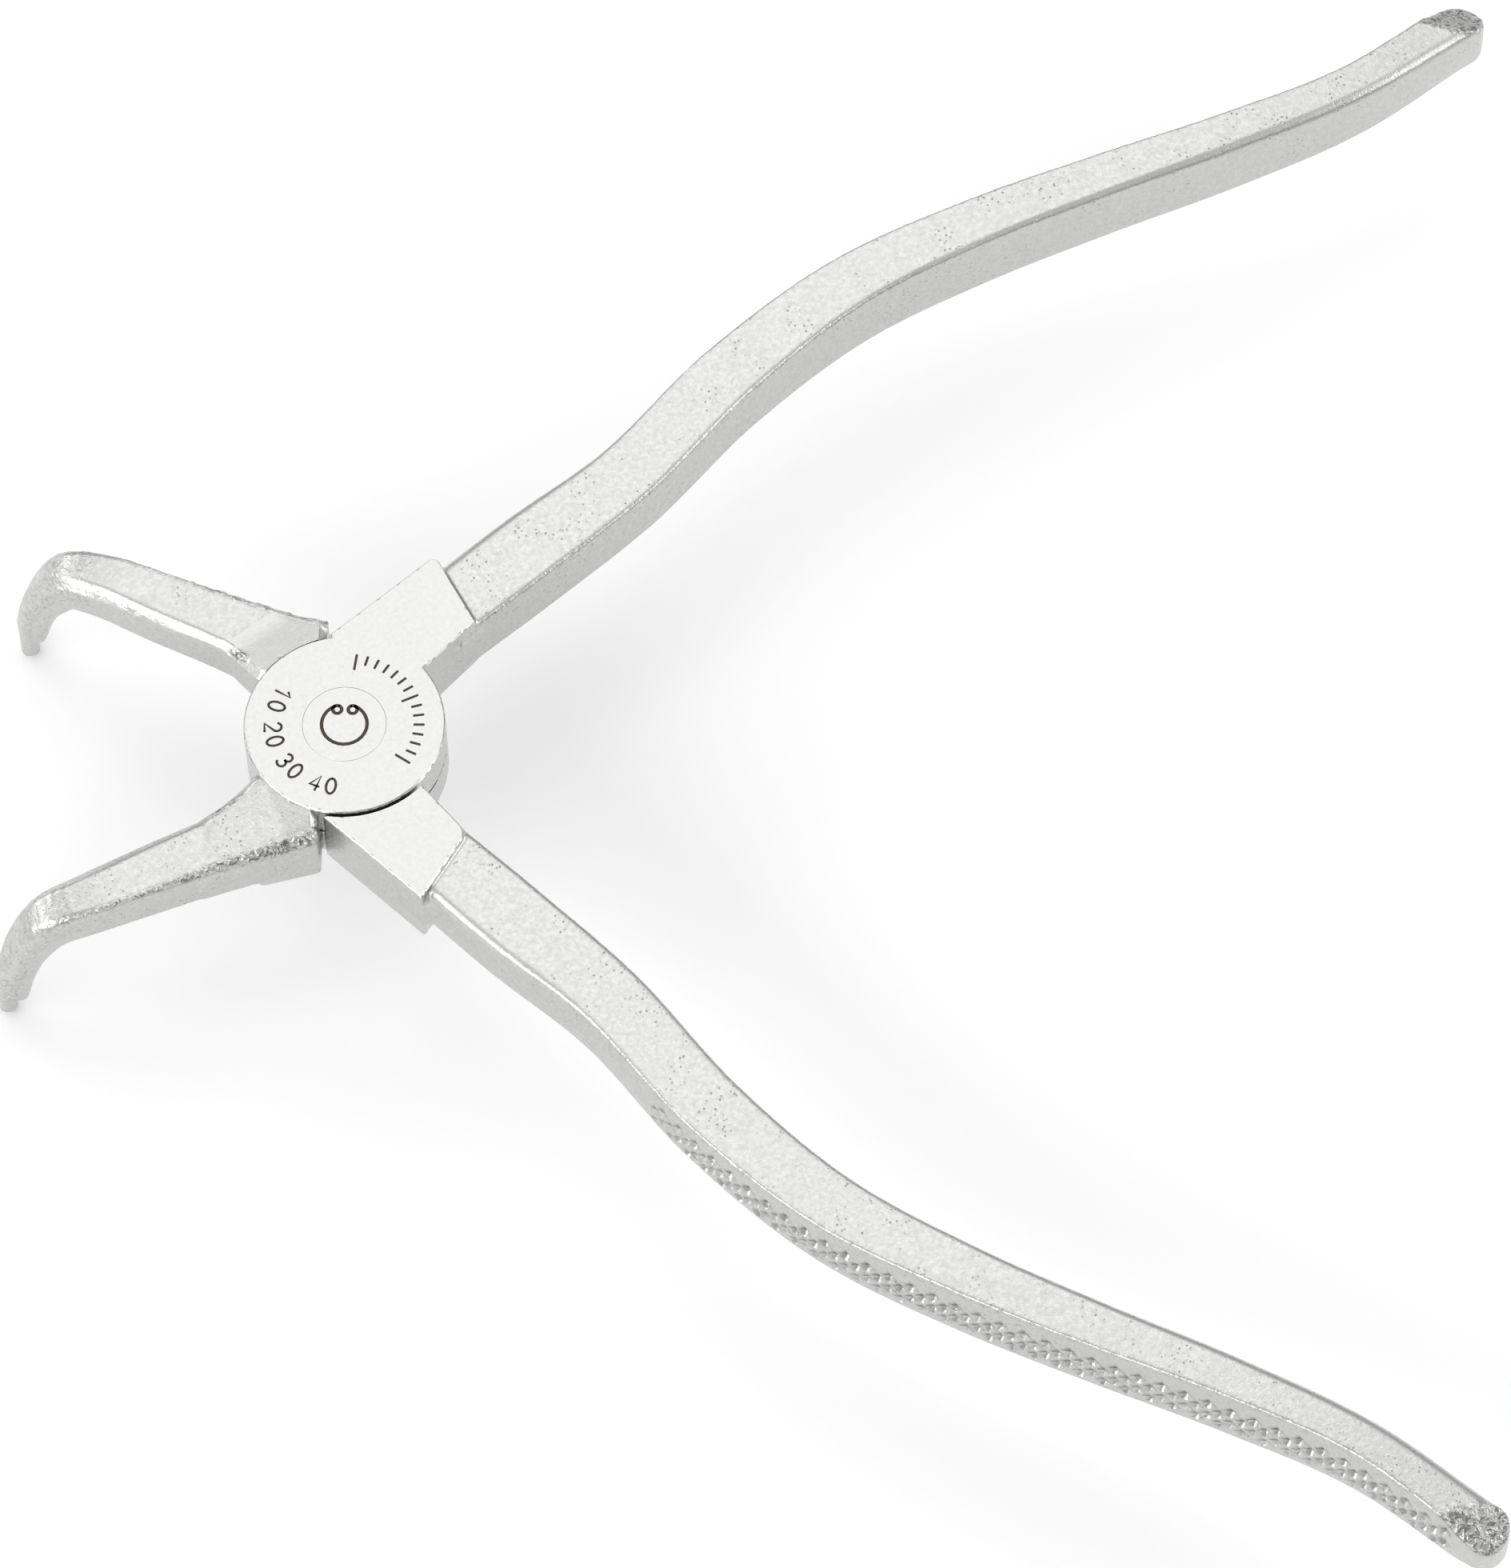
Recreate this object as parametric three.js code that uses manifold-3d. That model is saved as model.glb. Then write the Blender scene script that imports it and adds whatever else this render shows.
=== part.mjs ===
// Internal circlip pliers with tips bent down at a right angle.
// Two drop-forged arms cross in a lap joint and turn on one flush-ground rivet.
// Millimetres, +Z up. The origin is the pivot axis at the top face of the head.
// The pliers lie open: handles towards +X, jaws towards -X, tips pointing down.
import * as THREE from 'three';
import { mergeVertices } from 'three/addons/utils/BufferGeometryUtils.js';
import Module from 'manifold-3d';

const wasm = await Module();
wasm.setup();

// ---- driving dimensions ----

const HEAD_RADIUS = 9.5;             // round lap disc
const HEAD_THICKNESS = 7.7;          // both laps together
const LAP_GAP = 0.3;                 // between the faces of the two laps
const DISC_CLEARANCE = 0.4;          // between a disc and the hollow shoulder beside it
const STOP_GAP_DEG = 2.2;            // left between jaw root and shoulder at full opening

const RIVET_HEAD_RADIUS = 3.95;      // countersunk head, flush on both faces
const RIVET_SHANK_RADIUS = 3.0;
const RIVET_LAND = 0.35;             // straight rim of the head before its cone
const RIVET_CLEARANCE = 0.1;

const SHOULDER_OUTER_DEG = 99.9;     // where the shoulder's outer edge meets the disc
const SHOULDER_INNER_DEG = 40.2;     // where its inner edge meets the disc
const SHOULDER_OUTER_LENGTH = 12.9;  // outer edge, disc to step
const SHOULDER_OUTER_HEADING = 42;   // direction of the outer edge, degrees
const SHOULDER_INNER_LENGTH = 6.6;
const SHOULDER_INNER_HEADING = 48.5;
const SHOULDER_CORNER = 0.7;         // corner radius at the outer end

const ROOT_INNER_DEG = 211.8;        // where the jaw's inner root edge meets the disc
const ROOT_INNER_LENGTH = 4.3;       // inner root edge, disc to blade
const ROOT_INNER_HEADING = 232;
const ROOT_OUTER_LENGTH = 1.75;      // end face that stops against the other arm
const ROOT_SLOPE_DEG = 11;           // top facet, falling away from the head
const ROOT_SLOPE_HEADING = 205;
const ROOT_STEP = 1.3;               // blade's underside above the head's underside
const ROOT_FOOT_LENGTH = 6.2;        // ground foot of the root, from the stop face
const ROOT_FOOT_HEADING = 195;
const ROOT_BLADE_SHARE = 0.4;        // where the root's edges run into the blade, of its width

const HANDLE_LENGTH = 117.5;         // straight line, from inside the shoulder to the rounded end
const HANDLE_HEADING = 34.5;
const HANDLE_SUNK = 2.3;             // part of the handle inside the shoulder
const HANDLE_INSET = 0.58;           // handle's middle line inside the shoulder's
const HANDLE_CORNER = 1.3;           // edge rounding of the handle section
const HANDLE_END = 2.6;              // length of the rounded handle end

const JAW_LENGTH = 27;               // seen from above, from inside the root to the tip
const JAW_HEADING = 200.4;
const JAW_START_REACH = 2.2;         // start of the blade beyond the hollow shoulder's circle
const JAW_START_DEG = 235;
const JAW_LOW = 0.05;                // middle of the blade at its start, below the head's middle
const NOSE_DROP = 14.5;              // from there down to the end of the nose

const PIN_RADIUS = 0.9;              // turned tip that enters the ring's eye
const PIN_LENGTH = 2.4;
const PIN_SUNK = 1.2;                // part of the pin inside the nose
const PIN_CHAMFER = 0.25;

const ROUND_STEPS = 64;              // facets of the head's round walls
const CORNER_STEPS = 4;              // facets of a section's rounded corner
const HANDLE_STEPS = 36;             // rings of the handle
const JAW_STEPS = 30;                // rings of the jaw
const PIN_STEPS = 24;                // facets of the tip
const OVERRUN = 1;                   // how far a cut reaches past the face that it opens
const STEEL = { color: 0xd9dadb, roughness: 0.4, metalness: 0.9 };
const GROUND_STEEL = { color: 0xe6e7e8, roughness: 0.3, metalness: 0.95 };

const MID_Z = -HEAD_THICKNESS / 2;
const JAW_Z = MID_Z - JAW_LOW;
const BORE_RADIUS = HEAD_RADIUS + DISC_CLEARANCE;

// Stations along the handle: how far along and how far to the outer side of the
// straight line from its start to its end, in handle lengths, then width and height.
const HANDLE_STATIONS = [
  [0, 0, 6.4, 6.6],
  [0.09, 0.012, 7.0, 6.6],
  [0.187, 0.022, 6.7, 6.7],
  [0.318, 0.056, 6.6, 7.1],
  [0.447, 0.071, 6.0, 7.7],
  [0.56, 0.061, 5.3, 8.1],
  [0.669, 0.04, 4.9, 8.1],
  [0.781, 0.016, 4.6, 8.1],
  [0.896, -0.002, 4.3, 7.6],
  [1, 0, 4.2, 6.4],
];

// Stations along the jaw: along and to the right of its line, in jaw lengths, the drop
// below its start, in nose drops, then width, depth and corner.
const JAW_STATIONS = [
  [0, 0, 0, 5.6, 5.2, 0.7],
  [0.225, 0.011, 0.007, 4.9, 4.8, 0.8],
  [0.463, 0.022, 0.021, 4.6, 4.3, 0.9],
  [0.673, 0.035, 0.041, 4.2, 4.3, 1.1],
  [0.802, 0.03, 0.103, 4.1, 4.6, 1.4],
  [0.881, 0.02, 0.297, 4.0, 4.3, 1.6],
  [0.937, 0.012, 0.628, 3.8, 3.8, 1.7],
  [1, 0, 1, 3.1, 3.1, 1.5],
];

// ---- small helpers ----

const radians = THREE.MathUtils.degToRad;

function polar(radius, degrees) {
  return new THREE.Vector2(radius * Math.cos(radians(degrees)), radius * Math.sin(radians(degrees)));
}

function step(from, length, heading) {
  return from.clone().add(polar(length, heading));
}

function solid(geometry) {
  const bare = geometry.clone();
  bare.deleteAttribute('normal');
  bare.deleteAttribute('uv');
  const merged = mergeVertices(bare, 1e-5);
  return new wasm.Manifold(new wasm.Mesh({
    numProp: 3,
    vertProperties: new Float32Array(merged.attributes.position.array),
    triVerts: new Uint32Array(merged.index.array),
  }));
}

function geometryOf(body) {
  const mesh = body.getMesh();
  const geometry = new THREE.BufferGeometry();
  geometry.setAttribute('position', new THREE.BufferAttribute(new Float32Array(mesh.vertProperties), 3));
  geometry.setIndex(new THREE.BufferAttribute(new Uint32Array(mesh.triVerts), 1));
  geometry.computeVertexNormals();
  return geometry;
}

// The same body reflected in the XZ plane, its faces turned to point out again.
function mirrored(body) {
  const geometry = geometryOf(body).scale(1, -1, 1);
  geometry.index.array.reverse();
  return solid(geometry);
}

function disc(radius, low, high) {
  const geometry = new THREE.CylinderGeometry(radius, radius, high - low, ROUND_STEPS);
  geometry.rotateX(Math.PI / 2);
  geometry.translate(0, 0, (low + high) / 2);
  return solid(geometry);
}

function plate(points, low, high) {
  const options = { depth: high - low, bevelEnabled: false };
  const geometry = new THREE.ExtrudeGeometry(new THREE.Shape(points), options);
  geometry.translate(0, 0, low);
  return solid(geometry);
}

// Points of a rounded rectangle, in the order that faces a loft outwards.
function sectionPoints(width, depth, corner) {
  const round = Math.min(corner, width * 0.49, depth * 0.49);
  const points = [];
  for (const [sx, sy, turn] of [[1, 1, 0], [-1, 1, 90], [-1, -1, 180], [1, -1, 270]]) {
    for (let i = 0; i <= CORNER_STEPS; i += 1) {
      const centre = new THREE.Vector2(sx * (width / 2 - round), sy * (depth / 2 - round));
      points.push(centre.add(polar(round, turn + (90 * i) / CORNER_STEPS)));
    }
  }
  return points;
}

// Joins rings of equal length into one closed body with flat ends.
function loft(rings) {
  const count = rings[0].length;
  const positions = rings.flat().flatMap((point) => point.toArray());
  const index = [];
  for (let r = 0; r < rings.length - 1; r += 1) {
    for (let i = 0; i < count; i += 1) {
      const a = r * count + i;
      const b = r * count + ((i + 1) % count);
      index.push(a, b, b + count, a, b + count, a + count);
    }
  }
  const last = (rings.length - 1) * count;
  for (let i = 1; i < count - 1; i += 1) {
    index.push(0, i + 1, i, last, last + i, last + i + 1);
  }
  const geometry = new THREE.BufferGeometry();
  geometry.setAttribute('position', new THREE.Float32BufferAttribute(positions, 3));
  geometry.setIndex(index);
  return geometry;
}

// A ring of a bar's section, square to its path. The width stays level.
function ring(centre, tangent, [width, depth, corner], scale = 1) {
  const across = new THREE.Vector3(-tangent.y, tangent.x, 0).normalize();
  const through = new THREE.Vector3().crossVectors(tangent, across);
  return sectionPoints(width * scale, depth * scale, corner * scale).map((point) => (
    centre.clone().addScaledVector(across, point.x).addScaledVector(through, point.y)
  ));
}

// A bar along a smooth path through its stations: [centre, [width, depth, corner]].
function bar(stations, steps, roundEnd = 0) {
  const path = new THREE.CatmullRomCurve3(stations.map(([centre]) => centre));
  const sizes = new THREE.CatmullRomCurve3(stations.map(([, size]) => new THREE.Vector3(...size)));
  const rings = [];
  for (let i = 0; i <= steps; i += 1) {
    const u = i / steps;
    rings.push(ring(path.getPoint(u), path.getTangent(u), sizes.getPoint(u).toArray()));
  }
  const direction = path.getTangent(1);
  for (let degrees = 25; roundEnd > 0 && degrees <= 75; degrees += 25) {
    const centre = path.getPoint(1).addScaledVector(direction, roundEnd * Math.sin(radians(degrees)));
    rings.push(ring(centre, direction, sizes.getPoint(1).toArray(), Math.cos(radians(degrees))));
  }
  return solid(loft(rings));
}

// ---- pieces of one arm, drawn for the arm whose handle lies at +Y ----

function shoulderCorners() {
  const outerStart = polar(BORE_RADIUS, SHOULDER_OUTER_DEG);
  const innerStart = polar(BORE_RADIUS, SHOULDER_INNER_DEG);
  const outerEnd = step(outerStart, SHOULDER_OUTER_LENGTH, SHOULDER_OUTER_HEADING);
  const innerEnd = step(innerStart, SHOULDER_INNER_LENGTH, SHOULDER_INNER_HEADING);
  return { outerStart, innerStart, outerEnd, innerEnd };
}

function shoulder() {
  const { outerStart, innerStart, outerEnd, innerEnd } = shoulderCorners();
  const across = innerEnd.clone().sub(outerEnd).normalize();
  return plate([
    new THREE.Vector2(0, 0),
    innerStart,
    innerEnd,
    outerEnd.clone().addScaledVector(across, SHOULDER_CORNER),
    step(outerEnd, -SHOULDER_CORNER, SHOULDER_OUTER_HEADING),
    outerStart,
    polar(HEAD_RADIUS / 2, SHOULDER_OUTER_DEG),
  ], -HEAD_THICKNESS, 0);
}

// A point placed along and to the left of a line, both in lengths of that line.
function offLine(start, length, heading, along, aside) {
  return step(step(start, along * length, heading), aside * length, heading + 90);
}

function handle() {
  const { outerEnd, innerEnd } = shoulderCorners();
  const middle = outerEnd.clone().add(innerEnd).divideScalar(2);
  const sunk = step(middle, -HANDLE_SUNK, SHOULDER_OUTER_HEADING);
  const start = step(sunk, -HANDLE_INSET, SHOULDER_OUTER_HEADING + 90);
  const stations = HANDLE_STATIONS.map(([along, aside, width, height]) => {
    const { x, y } = offLine(start, HANDLE_LENGTH, HANDLE_HEADING, along, aside);
    return [new THREE.Vector3(x, y, MID_Z), [width, height, HANDLE_CORNER]];
  });
  return bar(stations, HANDLE_STEPS, HANDLE_END);
}

// The slab above the jaw root's sloping top facet, to be cut away.
function aboveRootSlope() {
  const size = 4 * HEAD_RADIUS;
  const geometry = new THREE.BoxGeometry(size, size, size);
  geometry.translate(size / 2, 0, size / 2);
  geometry.rotateY(radians(ROOT_SLOPE_DEG));
  geometry.translate(BORE_RADIUS - 1, 0, 0);
  geometry.rotateZ(radians(ROOT_SLOPE_HEADING));
  return solid(geometry);
}

function jawStations() {
  const start = polar(BORE_RADIUS + JAW_START_REACH, JAW_START_DEG);
  return JAW_STATIONS.map(([along, aside, drop, width, depth, corner]) => {
    const { x, y } = offLine(start, JAW_LENGTH, JAW_HEADING, along, aside);
    return [new THREE.Vector3(x, y, JAW_Z - drop * NOSE_DROP), [width, depth, corner]];
  });
}

function jawRoot() {
  const innerStart = polar(BORE_RADIUS, ROOT_INNER_DEG);
  const innerEnd = step(innerStart, ROOT_INNER_LENGTH, ROOT_INNER_HEADING);
  const outerStart = polar(BORE_RADIUS, 360 - SHOULDER_OUTER_DEG - STOP_GAP_DEG);
  const outerEnd = step(outerStart, ROOT_OUTER_LENGTH, 270);
  const hub = polar(HEAD_RADIUS / 2, (ROOT_INNER_DEG + 360 - SHOULDER_OUTER_DEG) / 2);
  const [blade, [width]] = jawStations()[1];
  const bladeOuter = new THREE.Vector2(blade.x, blade.y - ROOT_BLADE_SHARE * width);
  const bladeInner = new THREE.Vector2(blade.x, blade.y + ROOT_BLADE_SHARE * width);
  const footEnd = step(outerEnd, ROOT_FOOT_LENGTH, ROOT_FOOT_HEADING);
  const body = plate([hub, innerStart, innerEnd, bladeInner, bladeOuter, outerEnd, outerStart],
    ROOT_STEP - HEAD_THICKNESS, 0);
  const foot = plate([hub, innerStart, footEnd, outerEnd, outerStart],
    -HEAD_THICKNESS, MID_Z);
  return body.add(foot).subtract(aboveRootSlope());
}

function jawBlade() {
  return bar(jawStations(), JAW_STEPS);
}

function pin() {
  const [{ x, y, z }] = jawStations().at(-1);
  const profile = [
    [0, -PIN_LENGTH], [PIN_RADIUS - PIN_CHAMFER, -PIN_LENGTH], [PIN_RADIUS, PIN_CHAMFER - PIN_LENGTH],
    [PIN_RADIUS, PIN_SUNK], [0, PIN_SUNK],
  ].map(([radius, height]) => new THREE.Vector2(radius, height));
  const geometry = new THREE.LatheGeometry(profile, PIN_STEPS);
  geometry.rotateX(Math.PI / 2);
  geometry.translate(x, y, z);
  return solid(geometry);
}

// ---- rivet and its countersunk bore ----

function rivetShape(clearance, overrun) {
  const head = RIVET_HEAD_RADIUS + clearance;
  const shank = RIVET_SHANK_RADIUS + clearance;
  const cone = RIVET_LAND + head - shank;
  const profile = [
    [0, -HEAD_THICKNESS - overrun], [head, -HEAD_THICKNESS - overrun], [head, RIVET_LAND - HEAD_THICKNESS],
    [shank, cone - HEAD_THICKNESS], [shank, -cone], [head, -RIVET_LAND], [head, overrun], [0, overrun],
  ].map(([radius, height]) => new THREE.Vector2(radius, height));
  const geometry = new THREE.LatheGeometry(profile, ROUND_STEPS);
  geometry.rotateX(Math.PI / 2);
  return solid(geometry);
}

// ---- assembly ----

// Cuts away the half of the head that the other arm's disc fills.
function lapCut(isUpper) {
  const lapFace = LAP_GAP / 2;
  return isUpper
    ? disc(BORE_RADIUS, -HEAD_THICKNESS - OVERRUN, MID_Z + lapFace)
    : disc(BORE_RADIUS, MID_Z - lapFace, OVERRUN);
}

function arm(isUpper) {
  const forging = disc(HEAD_RADIUS, -HEAD_THICKNESS, 0)
    .add(shoulder())
    .add(handle())
    .add(jawRoot())
    .add(jawBlade())
    .add(pin());
  const sided = isUpper ? forging : mirrored(forging);
  return sided.subtract(lapCut(isUpper)).subtract(rivetShape(RIVET_CLEARANCE, OVERRUN));
}

function named(name, body, finish) {
  const mesh = new THREE.Mesh(geometryOf(body), new THREE.MeshStandardMaterial(finish));
  mesh.name = name;
  return mesh;
}

const pliers = new THREE.Group();
pliers.add(named('upper_lap_arm', arm(true), STEEL));
pliers.add(named('lower_lap_arm', arm(false), STEEL));
pliers.add(named('joint_rivet', rivetShape(0, 0), GROUND_STEEL));

export default pliers;
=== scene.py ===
"""Looks of bent-tip internal circlip pliers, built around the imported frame.

Lengths are in millimetres in the frame's own axes, and become metres when a mesh or a lamp is made.
Each arm is one forging: its shape is written as a signed distance, negative inside the steel, and
contoured into a closed mesh whose ground edges stay crisp. The arm is described once, for the arm
whose handle lies at +Y; the other arm is its reflection with the other half of the lap.
"""

import logging
import math
from collections.abc import Callable
from dataclasses import dataclass, field
from enum import Enum

import bpy
import numpy as np
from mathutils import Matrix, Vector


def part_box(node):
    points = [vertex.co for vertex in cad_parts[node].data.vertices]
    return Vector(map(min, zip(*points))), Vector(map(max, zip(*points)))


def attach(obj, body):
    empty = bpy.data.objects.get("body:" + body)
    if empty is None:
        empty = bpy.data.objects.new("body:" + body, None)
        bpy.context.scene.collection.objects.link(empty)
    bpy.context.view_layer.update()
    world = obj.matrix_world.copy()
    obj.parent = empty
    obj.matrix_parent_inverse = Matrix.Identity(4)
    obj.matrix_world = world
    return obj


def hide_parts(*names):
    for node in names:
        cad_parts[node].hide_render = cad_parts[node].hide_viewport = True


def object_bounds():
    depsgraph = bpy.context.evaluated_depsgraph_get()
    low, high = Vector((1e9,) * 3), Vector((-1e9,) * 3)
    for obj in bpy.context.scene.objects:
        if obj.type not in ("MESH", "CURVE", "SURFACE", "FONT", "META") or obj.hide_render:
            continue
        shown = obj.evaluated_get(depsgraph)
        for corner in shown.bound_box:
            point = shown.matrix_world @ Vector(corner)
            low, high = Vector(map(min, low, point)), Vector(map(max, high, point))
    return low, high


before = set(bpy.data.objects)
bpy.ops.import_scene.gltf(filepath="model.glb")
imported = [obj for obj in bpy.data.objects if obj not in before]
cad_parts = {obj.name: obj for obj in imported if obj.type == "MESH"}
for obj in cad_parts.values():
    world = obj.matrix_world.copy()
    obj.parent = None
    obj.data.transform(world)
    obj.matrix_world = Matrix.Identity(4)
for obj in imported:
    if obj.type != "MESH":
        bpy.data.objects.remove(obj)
CAD_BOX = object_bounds()

Array = np.ndarray
Field = Callable[[Array], Array]

MM = 0.001
log = logging.getLogger("pliers")


def heading(degrees: float) -> Array:
    """Returns the level unit vector at an angle from +X."""
    return np.array([math.cos(math.radians(degrees)), math.sin(math.radians(degrees))])


def ease(low: float, high: float, value: Array) -> Array:
    """Returns a smooth rise from 0 at low to 1 at high."""
    share = np.clip((value - low) / (high - low), 0, 1)
    return share * share * (3 - 2 * share)


def lattice_noise(points: Array, cell: float, seed: int) -> Array:
    """Makes smooth random values on a lattice.

    Args:
        points: places, one row each.
        cell: lattice spacing, in the unit of the points.
        seed: picks the pattern.

    Returns:
        One value from -1 to 1 for each point.
    """
    scaled = points / cell
    base = np.floor(scaled).astype(np.int64)
    part = scaled - base
    part = part * part * (3 - 2 * part)
    total = np.zeros(len(points))
    for corner in range(8):
        bits = np.array([(corner >> axis) & 1 for axis in range(3)])
        x, y, z = (base + bits).T
        code = x * 1619 + y * 31337 + z * 6971 + seed * 1013
        code = (code << 13) ^ code
        code = (code * (code * code * 15731 + 789221) + 1376312589) & 0x7FFFFFFF
        total += np.prod(np.where(bits, part, 1 - part), axis=1) * (1 - code / 0x40000000)
    return total


# ---- signed distances ----


def outline_distance(points: Array, corners: Array) -> Array:
    """Measures how far level points lie from a closed outline.

    Args:
        points: X and Y of each point.
        corners: the outline's corners in order.

    Returns:
        The distances, negative inside.
    """
    nearest = np.full(len(points), np.inf)
    inside = np.zeros(len(points), bool)
    for start, end in zip(corners, np.roll(corners, -1, axis=0)):
        edge, off = end - start, points - start
        share = np.clip(off @ edge / (edge @ edge), 0, 1)
        nearest = np.minimum(nearest, ((off - share[:, None] * edge) ** 2).sum(1))
        if edge[1] != 0:
            between = (start[1] > points[:, 1]) != (end[1] > points[:, 1])
            inside ^= between & (off[:, 0] < off[:, 1] * edge[0] / edge[1])
    return np.where(inside, -1, 1) * np.sqrt(nearest)


def reach_of(points: Array) -> Array:
    """Returns how far points lie from the rivet's axis."""
    return np.hypot(points[:, 0], points[:, 1])


def rounded_outline(corners: list[Array], radii: list[float]) -> Array:
    """Rounds the corners of an outline.

    Args:
        corners: the sharp corners in order.
        radii: the radius at each corner, 0 for a sharp one.

    Returns:
        The outline's points, with six on each arc.
    """
    points: list[Array] = []
    for i, (corner, radius) in enumerate(zip(corners, radii)):
        back = corners[i - 1] - corner
        ahead = corners[(i + 1) % len(corners)] - corner
        back, ahead = back / np.linalg.norm(back), ahead / np.linalg.norm(ahead)
        half = math.acos(np.clip(back @ ahead, -1, 1)) / 2
        if radius == 0:
            points.append(corner)
            continue
        middle = (back + ahead) / np.linalg.norm(back + ahead)
        centre = corner + middle * radius / math.sin(half)
        touch = radius / math.tan(half)
        for share in np.linspace(0, 1, 6):
            spoke = corner + (back * (1 - share) + ahead * share) * touch - centre
            points.append(centre + spoke * radius / np.linalg.norm(spoke))
    return np.array(points)


def rounded_corner(across: Array, over: Array) -> Array:
    """Returns the distance to a quarter plane, measured round its corner."""
    return np.hypot(np.maximum(across, 0), np.maximum(over, 0)) + np.minimum(np.maximum(across, over), 0)


def slab(level: Array, height: Array, bevel: float) -> Array:
    """Stands an outline up between two planes, with a bevel where they meet.

    Args:
        level: distance to the outline.
        height: distance to the planes.
        bevel: leg of the bevel.

    Returns:
        The distance to the body.
    """
    return np.maximum(np.maximum(level, height), (level + height + bevel) * math.sqrt(0.5))


def joined(first: Array, second: Array, fillet: float | Array) -> Array:
    """Joins two bodies with a fillet in the corner between them."""
    blend = np.clip(0.5 + 0.5 * (second - first) / fillet, 0, 1)
    return second + (first - second) * blend - fillet * blend * (1 - blend)


def boxed(points: Array, low: list[float], high: list[float], shape: Field) -> Array:
    """Measures a shape near its box, and only the box from further away.

    Args:
        points: places, one row each.
        low: the box's lowest corner.
        high: its highest corner.
        shape: measures the shape itself.

    Returns:
        The distances, which are too short far away but never by their sign.
    """
    reach = 1.7
    off = np.maximum(np.maximum(np.array(low) - points, points - np.array(high)), 0)
    distance = np.linalg.norm(off, axis=1) + reach
    near = distance < 2 * reach
    if near.any():
        distance[near] = shape(points[near])
    return distance


def smooth_rows(stations: Array, steps: int) -> Array:
    """Draws smooth curves through a table's columns, against its first one.

    Args:
        stations: rows whose first column rises.
        steps: how many rows to make.

    Returns:
        Rows evenly spaced in the first column.
    """
    along = stations[:, 0]
    slopes = np.gradient(stations, along, axis=0)
    places = np.linspace(along[0], along[-1], steps)
    i = np.clip(np.searchsorted(along, places) - 1, 0, len(along) - 2)
    gap = (along[i + 1] - along[i])[:, None]
    u = ((places - along[i])[:, None]) / gap
    start = (2 * u**3 - 3 * u**2 + 1) * stations[i] + (u**3 - 2 * u**2 + u) * gap * slopes[i]
    end = (3 * u**2 - 2 * u**3) * stations[i + 1] + (u**3 - u**2) * gap * slopes[i + 1]
    return start + end


def drawn(places: Array, columns: Array, at: Array) -> Array:
    """Reads a table's columns at places between its rows, one row for each."""
    return np.stack([np.interp(at, places, column) for column in columns.T], 1)


# ---- contouring ----


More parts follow.
